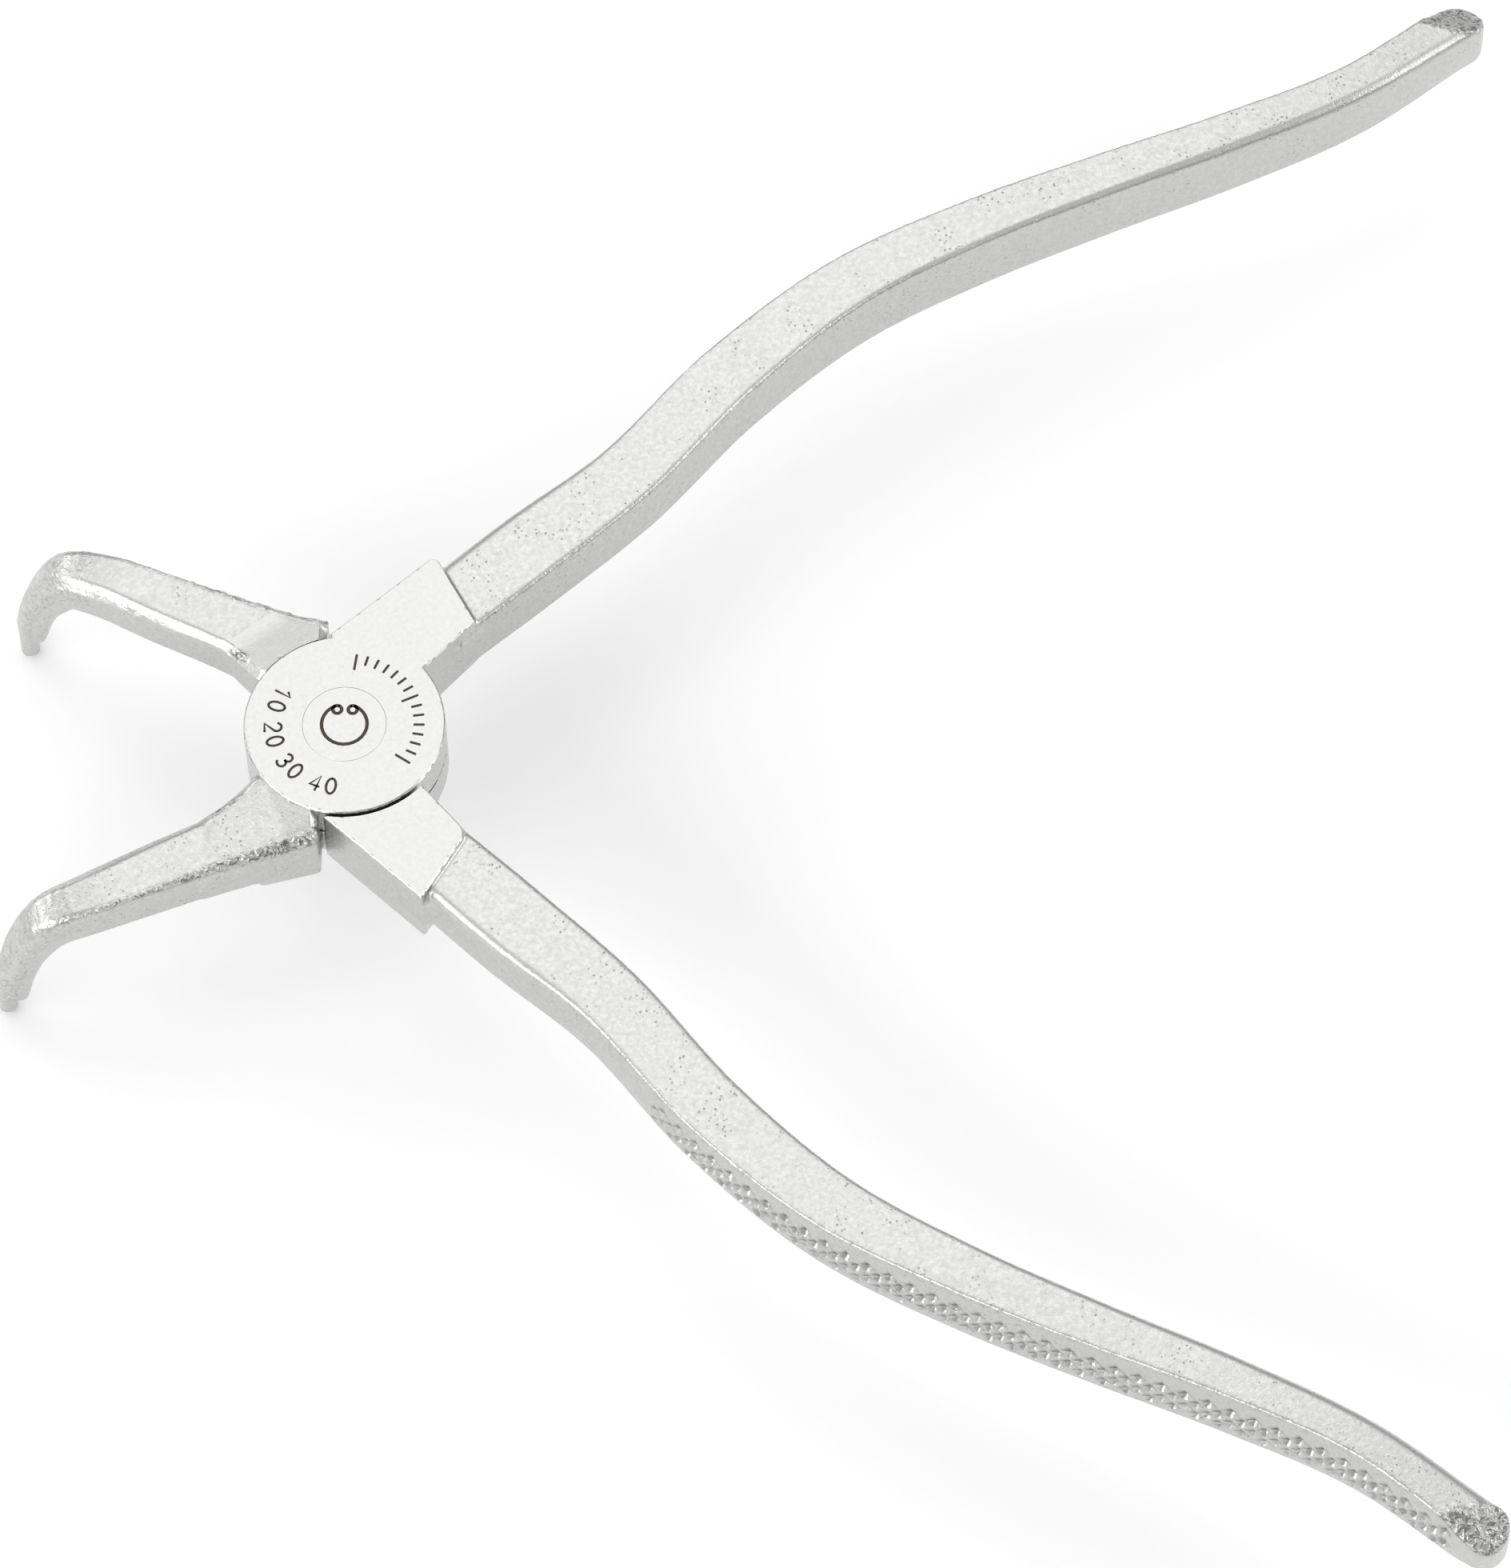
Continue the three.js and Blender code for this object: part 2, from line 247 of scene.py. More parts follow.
@dataclass
class Contourer:
    """Turns a signed distance into a closed mesh of quads, one vertex for each cell it crosses.

    Attributes:
        axes: places of the lattice planes along X, Y and Z.
        shape: the signed distance.
        block: lattice nodes along the side of a block that is measured or skipped as a whole.
        margin: how much further than half its diagonal a block looks for the surface.
        slack: the same, as a length.
        pull: draws a vertex to the middle of its crossings where the planes don't fix it.
        probe: reach of the measurements that give a direction.
    """

    axes: tuple[Array, Array, Array]
    shape: Field
    block: int = 8
    margin: float = 1.15
    slack: float = 0.4
    pull: float = 0.012
    probe: float = 0.012

    def values(self) -> Array:
        """Measures the shape on the lattice nodes near its surface.

        Returns:
            The distances on all nodes, with 1 outside and -1 inside for those further away.
        """
        counts = [len(axis) for axis in self.axes]
        starts = [np.arange(0, n, self.block) for n in counts]
        lows = [axis[at] for axis, at in zip(self.axes, starts)]
        highs = [axis[np.minimum(at + self.block, n - 1)]
                 for axis, at, n in zip(self.axes, starts, counts)]
        middle = np.stack(np.meshgrid(*[(a + b) / 2 for a, b in zip(lows, highs)], indexing="ij"), -1)
        reach = np.stack(np.meshgrid(*[(b - a) / 2 for a, b in zip(lows, highs)], indexing="ij"), -1)
        rough = self.shape(middle.reshape(-1, 3)).reshape(middle.shape[:3])
        near = np.abs(rough) < np.linalg.norm(reach, axis=-1) * self.margin + self.slack
        grid = np.where(rough < 0, -1.0, 1.0).astype(np.float32)
        for axis, n in enumerate(counts):
            grid = np.repeat(grid, self.block, axis=axis).take(range(n), axis=axis)
        inner = np.stack(np.meshgrid(*[np.arange(self.block)] * 3, indexing="ij"), -1).reshape(-1, 3)
        for some in np.array_split(np.argwhere(near), max(1, int(near.sum()) // 800)):
            ids = (some[:, None, :] * self.block + inner[None]).reshape(-1, 3)
            ids = ids[(ids < counts).all(1)]
            grid[tuple(ids.T)] = self.shape(self.places(ids))
        return grid

    def places(self, nodes: Array) -> Array:
        """Returns the places of lattice nodes."""
        return np.stack([axis[nodes[:, i]] for i, axis in enumerate(self.axes)], 1)

    def crossings(self, grid: Array, axis: int) -> tuple[Array, Array, Array]:
        """Finds where the surface crosses the lattice lines of one axis.

        Args:
            grid: the distances on the nodes.
            axis: 0, 1 or 2.

        Returns:
            The nodes before the crossings, the crossings' places, and which ones leave the steel.
        """
        low, high = [slice(None)] * 3, [slice(None)] * 3
        low[axis], high[axis] = slice(0, -1), slice(1, None)
        first, second = grid[tuple(low)], grid[tuple(high)]
        nodes = np.argwhere((first < 0) != (second < 0))
        ahead = nodes.copy()
        ahead[:, axis] += 1
        start, end = self.places(nodes), self.places(ahead)
        before, after = first[tuple(nodes.T)].astype(float), second[tuple(nodes.T)].astype(float)
        leaving = before < 0
        for _ in range(2):
            at = start + (end - start) * (before / (before - after))[:, None]
            value = self.shape(at)
            same = (value < 0) == (before < 0)
            start[same], before[same] = at[same], value[same]
            end[~same], after[~same] = at[~same], value[~same]
            flat = before == after
            before[flat] -= 1e-9
        return nodes, start + (end - start) * (before / (before - after))[:, None], leaving

    def normals(self, points: Array) -> Array:
        """Finds the shape's outward directions.

        Args:
            points: places, one row each.

        Returns:
            A direction for each point.
        """
        total = np.zeros_like(points)
        for corner in ((1, -1, -1), (-1, -1, 1), (-1, 1, -1), (1, 1, 1)):
            step = np.array(corner, float)
            total += self.shape(points + step * self.probe)[:, None] * step
        return total / np.maximum(np.linalg.norm(total, axis=1, keepdims=True), 1e-9)

    def mesh(self) -> tuple[Array, Array]:
        """Contours the shape.

        Returns:
            The vertices, and the four corners of each face in outward order.
        """
        grid = self.values()
        strides = np.array([grid.shape[1] * grid.shape[2], grid.shape[2], 1])
        points, normals, cells, leaving = [], [], [], []
        for axis in range(3):
            nodes, at, out = self.crossings(grid, axis)
            side, up = np.eye(3, dtype=int)[(axis + 1) % 3], np.eye(3, dtype=int)[(axis + 2) % 3]
            around = np.array([-side - up, -up, 0 * up, -side])
            cells.append((nodes[:, None, :] + around[None]) @ strides)
            points.append(at)
            normals.append(self.normals(at))
            leaving.append(out)
        points, normals = np.concatenate(points), np.concatenate(normals)
        cells, leaving = np.concatenate(cells), np.concatenate(leaving)
        vertices, corners = self.fit(points, normals, cells, strides)
        corners[~leaving] = corners[~leaving][:, ::-1]
        return vertices, corners

    def fit(self, points: Array, normals: Array, cells: Array, strides: Array) -> tuple[Array, Array]:
        """Places one vertex in each crossed cell where its surface planes meet.

        Args:
            points: the crossings.
            normals: the surface's direction at each crossing.
            cells: the four cells around each crossing.
            strides: how a cell's number is made up.

        Returns:
            The vertices, and the vertex numbers of the cells around each crossing.
        """
        ids, inverse = np.unique(cells.ravel(), return_inverse=True)
        source = np.repeat(np.arange(len(points)), 4)

        def gathered(weights: Array) -> Array:
            """Adds a value of the crossings up in each cell."""
            return np.bincount(inverse, weights, len(ids))

        count = gathered(np.ones(len(source)))
        centre = np.stack([gathered(points[source, i]) / count for i in range(3)], 1)
        normal = normals[source]
        offset = ((points[source] - centre[inverse]) * normal).sum(1)
        planes = np.empty((len(ids), 3, 3))
        for i in range(3):
            for j in range(i, 3):
                planes[:, i, j] = planes[:, j, i] = gathered(normal[:, i] * normal[:, j])
        target = np.stack([gathered(normal[:, i] * offset) for i in range(3)], 1)
        planes += np.eye(3) * self.pull * count[:, None, None]
        vertices = centre + np.linalg.solve(planes, target[..., None])[..., 0]
        cell = np.stack([ids // strides[0], ids % strides[0] // strides[1], ids % strides[1]], 1)
        vertices = np.clip(vertices, self.places(cell), self.places(cell + 1))
        return vertices, inverse.reshape(-1, 4)


def spaced(bands: list[tuple[float, float]], start: float) -> Array:
    """Lays lattice planes from a start, in bands of an even spacing.

    Args:
        bands: where each band ends and its spacing.
        start: the first plane.

    Returns:
        The planes' places.
    """
    planes = [np.array([start])]
    for end, gap in bands:
        count = max(1, round((end - planes[-1][-1]) / gap))
        planes.append(np.linspace(planes[-1][-1], end, count + 1)[1:])
    return np.concatenate(planes)


def vertex_normals(vertices: Array, faces: Array) -> Array:
    """Returns the outward direction at each vertex of a quad mesh.

    Args:
        vertices: places of the vertices.
        faces: four vertex numbers for each face.

    Returns:
        A direction for each vertex.
    """
    corner = vertices[faces]
    across = np.cross(corner[:, 2] - corner[:, 0], corner[:, 3] - corner[:, 1])
    total = np.stack([np.bincount(faces.ravel(), np.repeat(across[:, i], 4), len(vertices))
                      for i in range(3)], 1)
    return total / np.maximum(np.linalg.norm(total, axis=1, keepdims=True), 1e-12)


def placed(name: str, data: bpy.types.ID) -> bpy.types.Object:
    """Makes an object and links it to the scene.

    Args:
        name: the object's name.
        data: its mesh, lamp or camera.

    Returns:
        The object.
    """
    made = bpy.data.objects.new(name, data)
    bpy.context.scene.collection.objects.link(made)
    return made


def quad_object(name: str, vertices: Array, faces: Array, crease_deg: float) -> bpy.types.Object:
    """Makes a Blender object from a quad mesh.

    Args:
        name: the piece's name.
        vertices: places in millimetres.
        faces: four vertex numbers for each face.
        crease_deg: edges that turn more than this stay sharp.

    Returns:
        The object, linked to the scene.
    """
    mesh = bpy.data.meshes.new(name)
    mesh.vertices.add(len(vertices))
    mesh.vertices.foreach_set("co", (vertices * MM).astype(np.float32).ravel())
    mesh.loops.add(faces.size)
    mesh.loops.foreach_set("vertex_index", faces.astype(np.int32).ravel())
    mesh.polygons.add(len(faces))
    mesh.polygons.foreach_set("loop_start", np.arange(0, faces.size, faces.shape[1], dtype=np.int32))
    mesh.update(calc_edges=True)
    mesh.validate()
    mesh.shade_smooth()
    mesh.set_sharp_from_angle(angle=math.radians(crease_deg))
    return placed(name, mesh)


# ---- the forging's parts, for the arm whose handle lies at +Y ----


@dataclass
class Head:
    """The round lap, the shoulder behind it and the rivet's countersunk bore.

    Attributes:
        lap_gap: room between the two arms' faces.
        disc_clearance: room round the other arm's disc.
        snug_clearance: the same on the side of the jaw's root.
        root_deg: the side on which the jaw's root lies.
        rivet_land: height of the rivet's rim above its cone.
    """

    radius: float = 9.5
    thickness: float = 7.7
    lap_gap: float = 0.3
    disc_clearance: float = 0.4
    snug_clearance: float = 0.08
    root_deg: float = 235.0
    shoulder_outer_deg: float = 99.9
    shoulder_inner_deg: float = 40.2
    outer_length: float = 12.9
    outer_heading: float = 42.0
    inner_length: float = 6.6
    inner_heading: float = 48.5
    outer_round: float = 0.7
    inner_round: float = 0.3
    start_rounds: tuple[float, float] = (0.35, 0.3)
    bevel: float = 0.16
    rivet_radius: float = 3.95
    shank_radius: float = 3.0
    rivet_land: float = 0.35
    rivet_gap: float = 0.02

    @property
    def middle(self) -> float:
        """Height of the lap faces' middle."""
        return -self.thickness / 2

    @property
    def bore(self) -> float:
        """Radius of the hollow that the other arm's disc turns in."""
        return self.radius + self.disc_clearance

    def corners(self) -> dict[str, Array]:
        """Works out the shoulder's corners.

        Returns:
            The corners by name.
        """
        outer_start = self.bore * heading(self.shoulder_outer_deg)
        inner_start = self.bore * heading(self.shoulder_inner_deg)
        return {
            "outer_start": outer_start,
            "inner_start": inner_start,
            "outer_end": outer_start + self.outer_length * heading(self.outer_heading),
            "inner_end": inner_start + self.inner_length * heading(self.inner_heading),
        }

    def outline(self) -> Array:
        """Draws the shoulder's outline, from inside the disc.

        Returns:
            The outline's points.
        """
        at = self.corners()
        points = [np.zeros(2), at["inner_start"], at["inner_end"], at["outer_end"],
                  at["outer_start"], self.radius / 2 * heading(self.shoulder_outer_deg)]
        inner_start, outer_start = self.start_rounds
        return rounded_outline(points, [0, inner_start, self.inner_round, self.outer_round,
                                        outer_start, 0])

    def distance(self, points: Array) -> Array:
        """Measures the disc with its shoulder, both laps thick.

        Args:
            points: places, one row each.

        Returns:
            The distances, negative inside.
        """
        level = np.minimum(reach_of(points) - self.radius,
                           outline_distance(points[:, :2], self.outline()))
        height = np.abs(points[:, 2] - self.middle) - self.thickness / 2
        return slab(level, height, self.bevel)

    def rivet(self, points: Array, gap: float) -> Array:
        """Measures the rivet, grown by a gap all round.

        Args:
            points: places, one row each.
            gap: how much the rivet is grown.

        Returns:
            The distances, negative inside.
        """
        reach = reach_of(points)
        depth = self.thickness / 2 - np.abs(points[:, 2] - self.middle)
        cone = (reach + depth - self.rivet_radius - self.rivet_land) * math.sqrt(0.5)
        rim = reach - self.rivet_radius
        return np.minimum(np.maximum(rim, cone), reach - self.shank_radius) - gap

    def other_lap(self, points: Array, is_upper: bool) -> Array:
        """Measures the room that the other arm's half of the lap takes.

        Args:
            points: places, one row each.
            is_upper: whether this arm has the upper half of the lap.

        Returns:
            The distances, negative inside.
        """
        side = points[:, 2] - self.middle
        height = (side if is_upper else -side) - self.lap_gap / 2
        by_root = points[:, :2] @ heading(self.root_deg) > 0
        room = np.where(by_root, self.radius + self.snug_clearance, self.bore)
        return np.maximum(reach_of(points) - room, height)


@dataclass
class Knurl:
    """Rows of staggered diamond pits rolled into the handle's outer side.

    Attributes:
        low: how far each pit's deepest point lies below its middle, in half heights.
        ridge: rounds the two lower facets into each other.
        uneven: how much the depth differs from pit to pit.
        first_depth: depth of the first pits, as a share of the full one.
        first_run: length in which the pits reach their full depth.
    """

    pitch: float = 2.25
    row_gap: float = 1.15
    top_row: float = 1.05
    rows: int = 4
    start: float = 32.5
    end: float = 117.5
    depth: float = 0.62
    half_width: float = 0.84
    half_height: float = 1.08
    low: float = 0.46
    ridge: float = 0.06
    uneven: float = 0.14
    first_depth: float = 0.65
    first_run: float = 6.0

    def pits(self, along: Array, height: Array) -> Array:
        """Measures how deep the pits are.

        Args:
            along: arc length along the handle.
            height: height above the handle's middle.

        Returns:
            The depths, 0 between the pits.
        """
        u, v = along / self.pitch, (height - self.top_row) / (2 * self.row_gap)
        first, second = np.round(u + v), np.round(u - v)
        centre_u, centre_v = (first + second) / 2, (first - second) / 2
        across = np.abs(u - centre_u) * self.pitch / self.half_width
        rise = (v - centre_v) * 2 * self.row_gap / self.half_height + self.low
        upper, lower = across + rise, np.sqrt(across**2 + self.ridge) - rise
        pit = np.clip(1 - np.maximum(upper / (1 + self.low), lower / (1 - self.low)), 0, 1)
        in_rows = (centre_v < 0.1) & (centre_v > 0.4 - self.rows / 2)
        place = centre_u * self.pitch
        in_length = (place > self.start) & (place < self.end)
        strike = 1 - self.uneven + self.uneven * np.sin(centre_u * 12.9 + centre_v * 78.2)
        grown = ease(self.start, self.start + self.first_run, place)
        grown = self.first_depth + (1 - self.first_depth) * grown
        return self.depth * pit * strike * grown * (in_rows & in_length)


@dataclass
class Handle:
    """One S-shaped forged handle, from inside the shoulder to its rounded end.

    Attributes:
        sunk: how far the handle starts inside the shoulder.
        inset: how far its start lies to the inner side of the shoulder's middle.
        nose_round: radius of the end, seen from above.
        belly: how far the side walls lean out at mid height.
        facet_tilt: the end facet's direction: along, to the outer side and up.
        facet_lead: how far before the end the facet's middle lies, at facet_height.
        stations: how far along and how far to the outer side of the straight line from start to
            end, in handle lengths, then width and height.
    """

    head: Head
    length: float = 117.5
    heading_deg: float = 34.5
    sunk: float = 2.3
    inset: float = 0.58
    end: float = 3.0
    nose_round: float = 2.15
    end_round: float = 0.95
    outer_round: float = 0.3
    inner_round: float = 0.6
    inner_end_round: float = 1.1
    belly: float = 0.22
    facet_tilt: tuple[float, float, float] = (0.41, 0.285, 0.866)
    facet_lead: float = 1.0
    facet_height: float = 3.2
    knurl: Knurl = field(default_factory=Knurl)
    stations: tuple[tuple[float, ...], ...] = (
        (0, -0.001, 7.5, 6.6),
        (0.09, 0.0107, 7.7, 6.6),
        (0.187, 0.022, 6.95, 6.7),
        (0.318, 0.056, 6.65, 7.1),
        (0.447, 0.0707, 6.15, 7.7),
        (0.56, 0.0597, 5.55, 8.1),
        (0.669, 0.0396, 5.1, 8.1),
        (0.781, 0.016, 4.65, 8.1),
        (0.896, -0.001, 4.35, 7.6),
        (1, 0.0031, 4.65, 6.4),
    )

    def __post_init__(self) -> None:
        """Works out the handle's start and its smooth curves."""
        at = self.head.corners()
        middle = (at["outer_end"] + at["inner_end"]) / 2
        self.start = (middle - self.sunk * heading(self.head.outer_heading)
                      - self.inset * heading(self.head.outer_heading + 90))
        self.rows = smooth_rows(np.array(self.stations), 240)
        self.slope = np.gradient(self.rows[:, 1], self.rows[:, 0])
        pace = np.sqrt(1 + self.slope**2) * self.length / (len(self.rows) - 1)
        self.arc = np.cumsum(pace) - pace[0]

    def local(self, points: Array) -> tuple[Array, Array, Array, Array]:
        """Turns points into the handle's own measures.

        Args:
            points: places, one row each.

        Returns:
            Length along the straight line, offset to the outer side, height above the middle,
            and share of the handle's length.
        """
        off = points[:, :2] - self.start
        along = off @ heading(self.heading_deg)
        share = np.clip(along / self.length, 0, 1)
        aside = off @ heading(self.heading_deg + 90)
        centre = np.interp(share, self.rows[:, 0], self.rows[:, 1]) * self.length
        slope = np.interp(share, self.rows[:, 0], self.slope)
        return along, (aside - centre) / np.sqrt(1 + slope**2), points[:, 2] - self.head.middle, share

    def sizes(self, share: Array) -> Array:
        """Returns the width and the height at shares of the handle's length."""
        return drawn(self.rows[:, 0], self.rows[:, 2:], share).T

    def length_to(self, share: Array) -> Array:
        """Returns the length along the handle's curve up to shares of its length."""
        return np.interp(share, self.rows[:, 0], self.arc)

    def end_facet(self, along: Array, aside: Array, height: Array) -> Array:
        """Measures how far points lie above the struck facet at the handle's end.

        Args:
            along: length along the straight line.
            aside: offset to the outer side.
            height: height above the handle's middle.

        Returns:
            The distances, negative below the facet.
        """
        ahead, out, up = self.facet_tilt
        return (ahead * (along - self.length + self.facet_lead) + out * aside
                + up * (height - self.facet_height))

    def distance(self, points: Array) -> Array:
        """Measures the handle with its knurling.

        Args:
            points: places, one row each.

        Returns:
            The distances, negative inside.
        """
        along, aside, height, share = self.local(points)
        width, tall = self.sizes(share)
        side = np.abs(aside) + self.belly * (2 * height / tall) ** 2
        across = side - (width / 2 - self.nose_round)
        ahead = along - (self.length + self.end - self.nose_round)
        level = rounded_corner(across, ahead) - self.nose_round
        start_round = 1.0 - ease(0.02, 0.3, share) * (1.0 - self.outer_round)
        inner = self.inner_round + (self.inner_end_round - self.inner_round) * ease(0.4, 0.95, share)
        corner = np.where(aside > 0, start_round, inner)
        at_end = ease(self.length - 1.5, self.length + self.end - 1, along)
        corner = corner + (self.end_round - corner) * at_end
        body = rounded_corner(level + corner, np.abs(height) - tall / 2 + corner) - corner
        body = np.maximum(body, -along)
        pits = self.knurl.pits(self.length_to(share), height) * ease(0.1, 0.6, aside)
        facet = self.end_facet(along, aside, height)
        return -joined(-(body + pits), -facet, 0.3)


@dataclass
class Jaw:
    """The blade, its bend and the nose with the turned pin.

    Attributes:
        low: how far the blade's middle lies below the head's.
        drop: height that the stations' drops are shares of.
        pin_drop: how far the pin's end lies below the blade's middle.
        pin_sunk: how far the pin reaches up into the nose.
        kerf_radius: outer radius of the ring that is milled away round the pin's inner side.
        outer_bevels: the cut along the outer top edge, at the root and the bend.
        inner_bevels: the same along the inner top edge.
        stations: along and to the right of the jaw's line, in jaw lengths, the drop, then width,
            depth and corner.
    """

    head: Head
    length: float = 27.0
    heading_deg: float = 200.4
    start_reach: float = 2.2
    start_deg: float = 235.0
    low: float = 0.05
    drop: float = 14.5
    pin_radius: float = 0.9
    pin_drop: float = 16.9
    pin_sunk: float = 0.5
    kerf_radius: float = 1.75
    kerf_height: float = 2.3
    outer_bevels: tuple[float, float] = (0.55, 0.3)
    inner_bevels: tuple[float, float] = (0.8, 1.15)
    stations: tuple[tuple[float, ...], ...] = (
        (0, -0.003, -0.007, 6.5, 5.4, 0.5),
        (0.225, 0.008, -0.007, 5.8, 5.2, 0.45),
        (0.463, 0.018, 0.006, 5.4, 4.8, 0.45),
        (0.673, 0.03, 0.027, 4.9, 4.7, 0.7),
        (0.802, 0.028, 0.09, 4.5, 4.8, 1.1),
        (0.881, 0.02, 0.29, 4.1, 4.3, 1.3),
        (0.945, 0.018, 0.58, 3.6, 3.7, 1.3),
        (0.984, 0.016, 0.87, 3.3, 3.3, 0.9),
    )

    def __post_init__(self) -> None:
        """Works out the jaw's path in the frame."""
        start = (self.head.bore + self.start_reach) * heading(self.start_deg)
        table = np.array(self.stations)
        along, right = heading(self.heading_deg), heading(self.heading_deg + 90)
        path = np.empty((len(table), 3))
        path[:, :2] = start + self.length * (table[:, :1] * along + table[:, 1:2] * right)
        path[:, 2] = self.head.middle - self.low - table[:, 2] * self.drop
        gaps = np.linalg.norm(np.diff(path, axis=0), axis=1)
        share = np.concatenate([[0], np.cumsum(gaps)]) / gaps.sum()
        rows = smooth_rows(np.column_stack([share, path, table[:, 3:]]), 41)
        self.share, self.path, self.sizes = rows[:, 0], rows[:, 1:4], rows[:, 4:]
        ahead = np.gradient(self.path, axis=0)
        self.ahead = ahead / np.linalg.norm(ahead, axis=1, keepdims=True)
        tip = start + self.length * along
        self.pin_axis = np.array([tip[0], tip[1], self.path[-1, 2]])
        self.pin_end = self.head.middle - self.low - self.pin_drop
        self.inward = heading(self.heading_deg - 90)

    def local(self, points: Array) -> tuple[Array, Array, Array]:
        """Turns points into the jaw's own measures.

        Args:
            points: places, one row each.

        Returns:
            Share of the path, offset to the inner side, and offset upwards out of the bend.
        """
        nearest = np.full(len(points), np.inf)
        share = np.zeros(len(points))
        for i, (start, end) in enumerate(zip(self.path[:-1], self.path[1:])):
            edge = end - start
            part = np.clip((points - start) @ edge / (edge @ edge), 0, 1)
            gap = ((points - start - part[:, None] * edge) ** 2).sum(1)
            closer = gap < nearest
            nearest[closer] = gap[closer]
            share[closer] = (i + part[closer]) / (len(self.path) - 1)
        centre, ahead = (drawn(self.share, table, share) for table in (self.path, self.ahead))
        inner = np.stack([ahead[:, 1], -ahead[:, 0], np.zeros(len(points))], 1)
        inner /= np.linalg.norm(inner, axis=1, keepdims=True)
        off = points - centre
        return share, (off * inner).sum(1), (off * np.cross(inner, ahead)).sum(1)

    def blade(self, points: Array) -> Array:
        """Measures the blade and nose, without the pin.

        Args:
            points: places, one row each.

        Returns:
            The distances, negative inside.
        """
        share, inner, up = self.local(points)
        width, depth, corner = drawn(self.share, self.sizes, share).T
        side, rise = np.abs(inner) - width / 2 + corner, np.abs(up) - depth / 2 + corner
        body = rounded_corner(side, rise) - corner
        fade = ease(0.1, 0.52, share)
        for sign, (root, bend) in ((-1, self.outer_bevels), (1, self.inner_bevels)):
            cut = root + (bend - root) * fade
            slope = (sign * inner - width / 2 + up - depth / 2 + cut) * math.sqrt(0.5)
            body = -joined(-body, -slope, 0.25)
        ends = [(points - self.path[i]) @ self.ahead[i] * sign for i, sign in ((0, -1), (-1, 1))]
        return np.maximum(body, np.maximum(*ends))

    def pin_reach(self, points: Array) -> Array:
        """Returns how far points lie from the pin's axis."""
        return reach_of(points - self.pin_axis)

    def pin(self, points: Array) -> Array:
        """Measures the turned pin with its rounded end.

        Args:
            points: places, one row each.

        Returns:
            The distances, negative inside.
        """
        reach = self.pin_reach(points)
        top = self.pin_axis[2] + self.pin_sunk
        ends = np.maximum(self.pin_end - points[:, 2], points[:, 2] - top)
        soft = 0.3
        return rounded_corner(reach - self.pin_radius + soft, ends + soft) - soft

    def kerf(self, points: Array) -> Array:
        """Measures the ring that the hollow mill clears round the pin's inner side.

        Args:
            points: places, one row each.

        Returns:
            The distances, negative inside.
        """
        reach = self.pin_reach(points)
        ring = np.maximum(reach - self.kerf_radius, self.pin_radius - reach)
        ring = np.maximum(ring, -0.2 - (points[:, :2] - self.pin_axis[:2]) @ self.inward)
        return np.maximum(ring, points[:, 2] - self.pin_axis[2] - self.kerf_height)

    def distance(self, points: Array) -> Array:
        """Measures the blade, the nose and the pin."""
        return np.minimum(np.maximum(self.blade(points), -self.kerf(points)), self.pin(points))


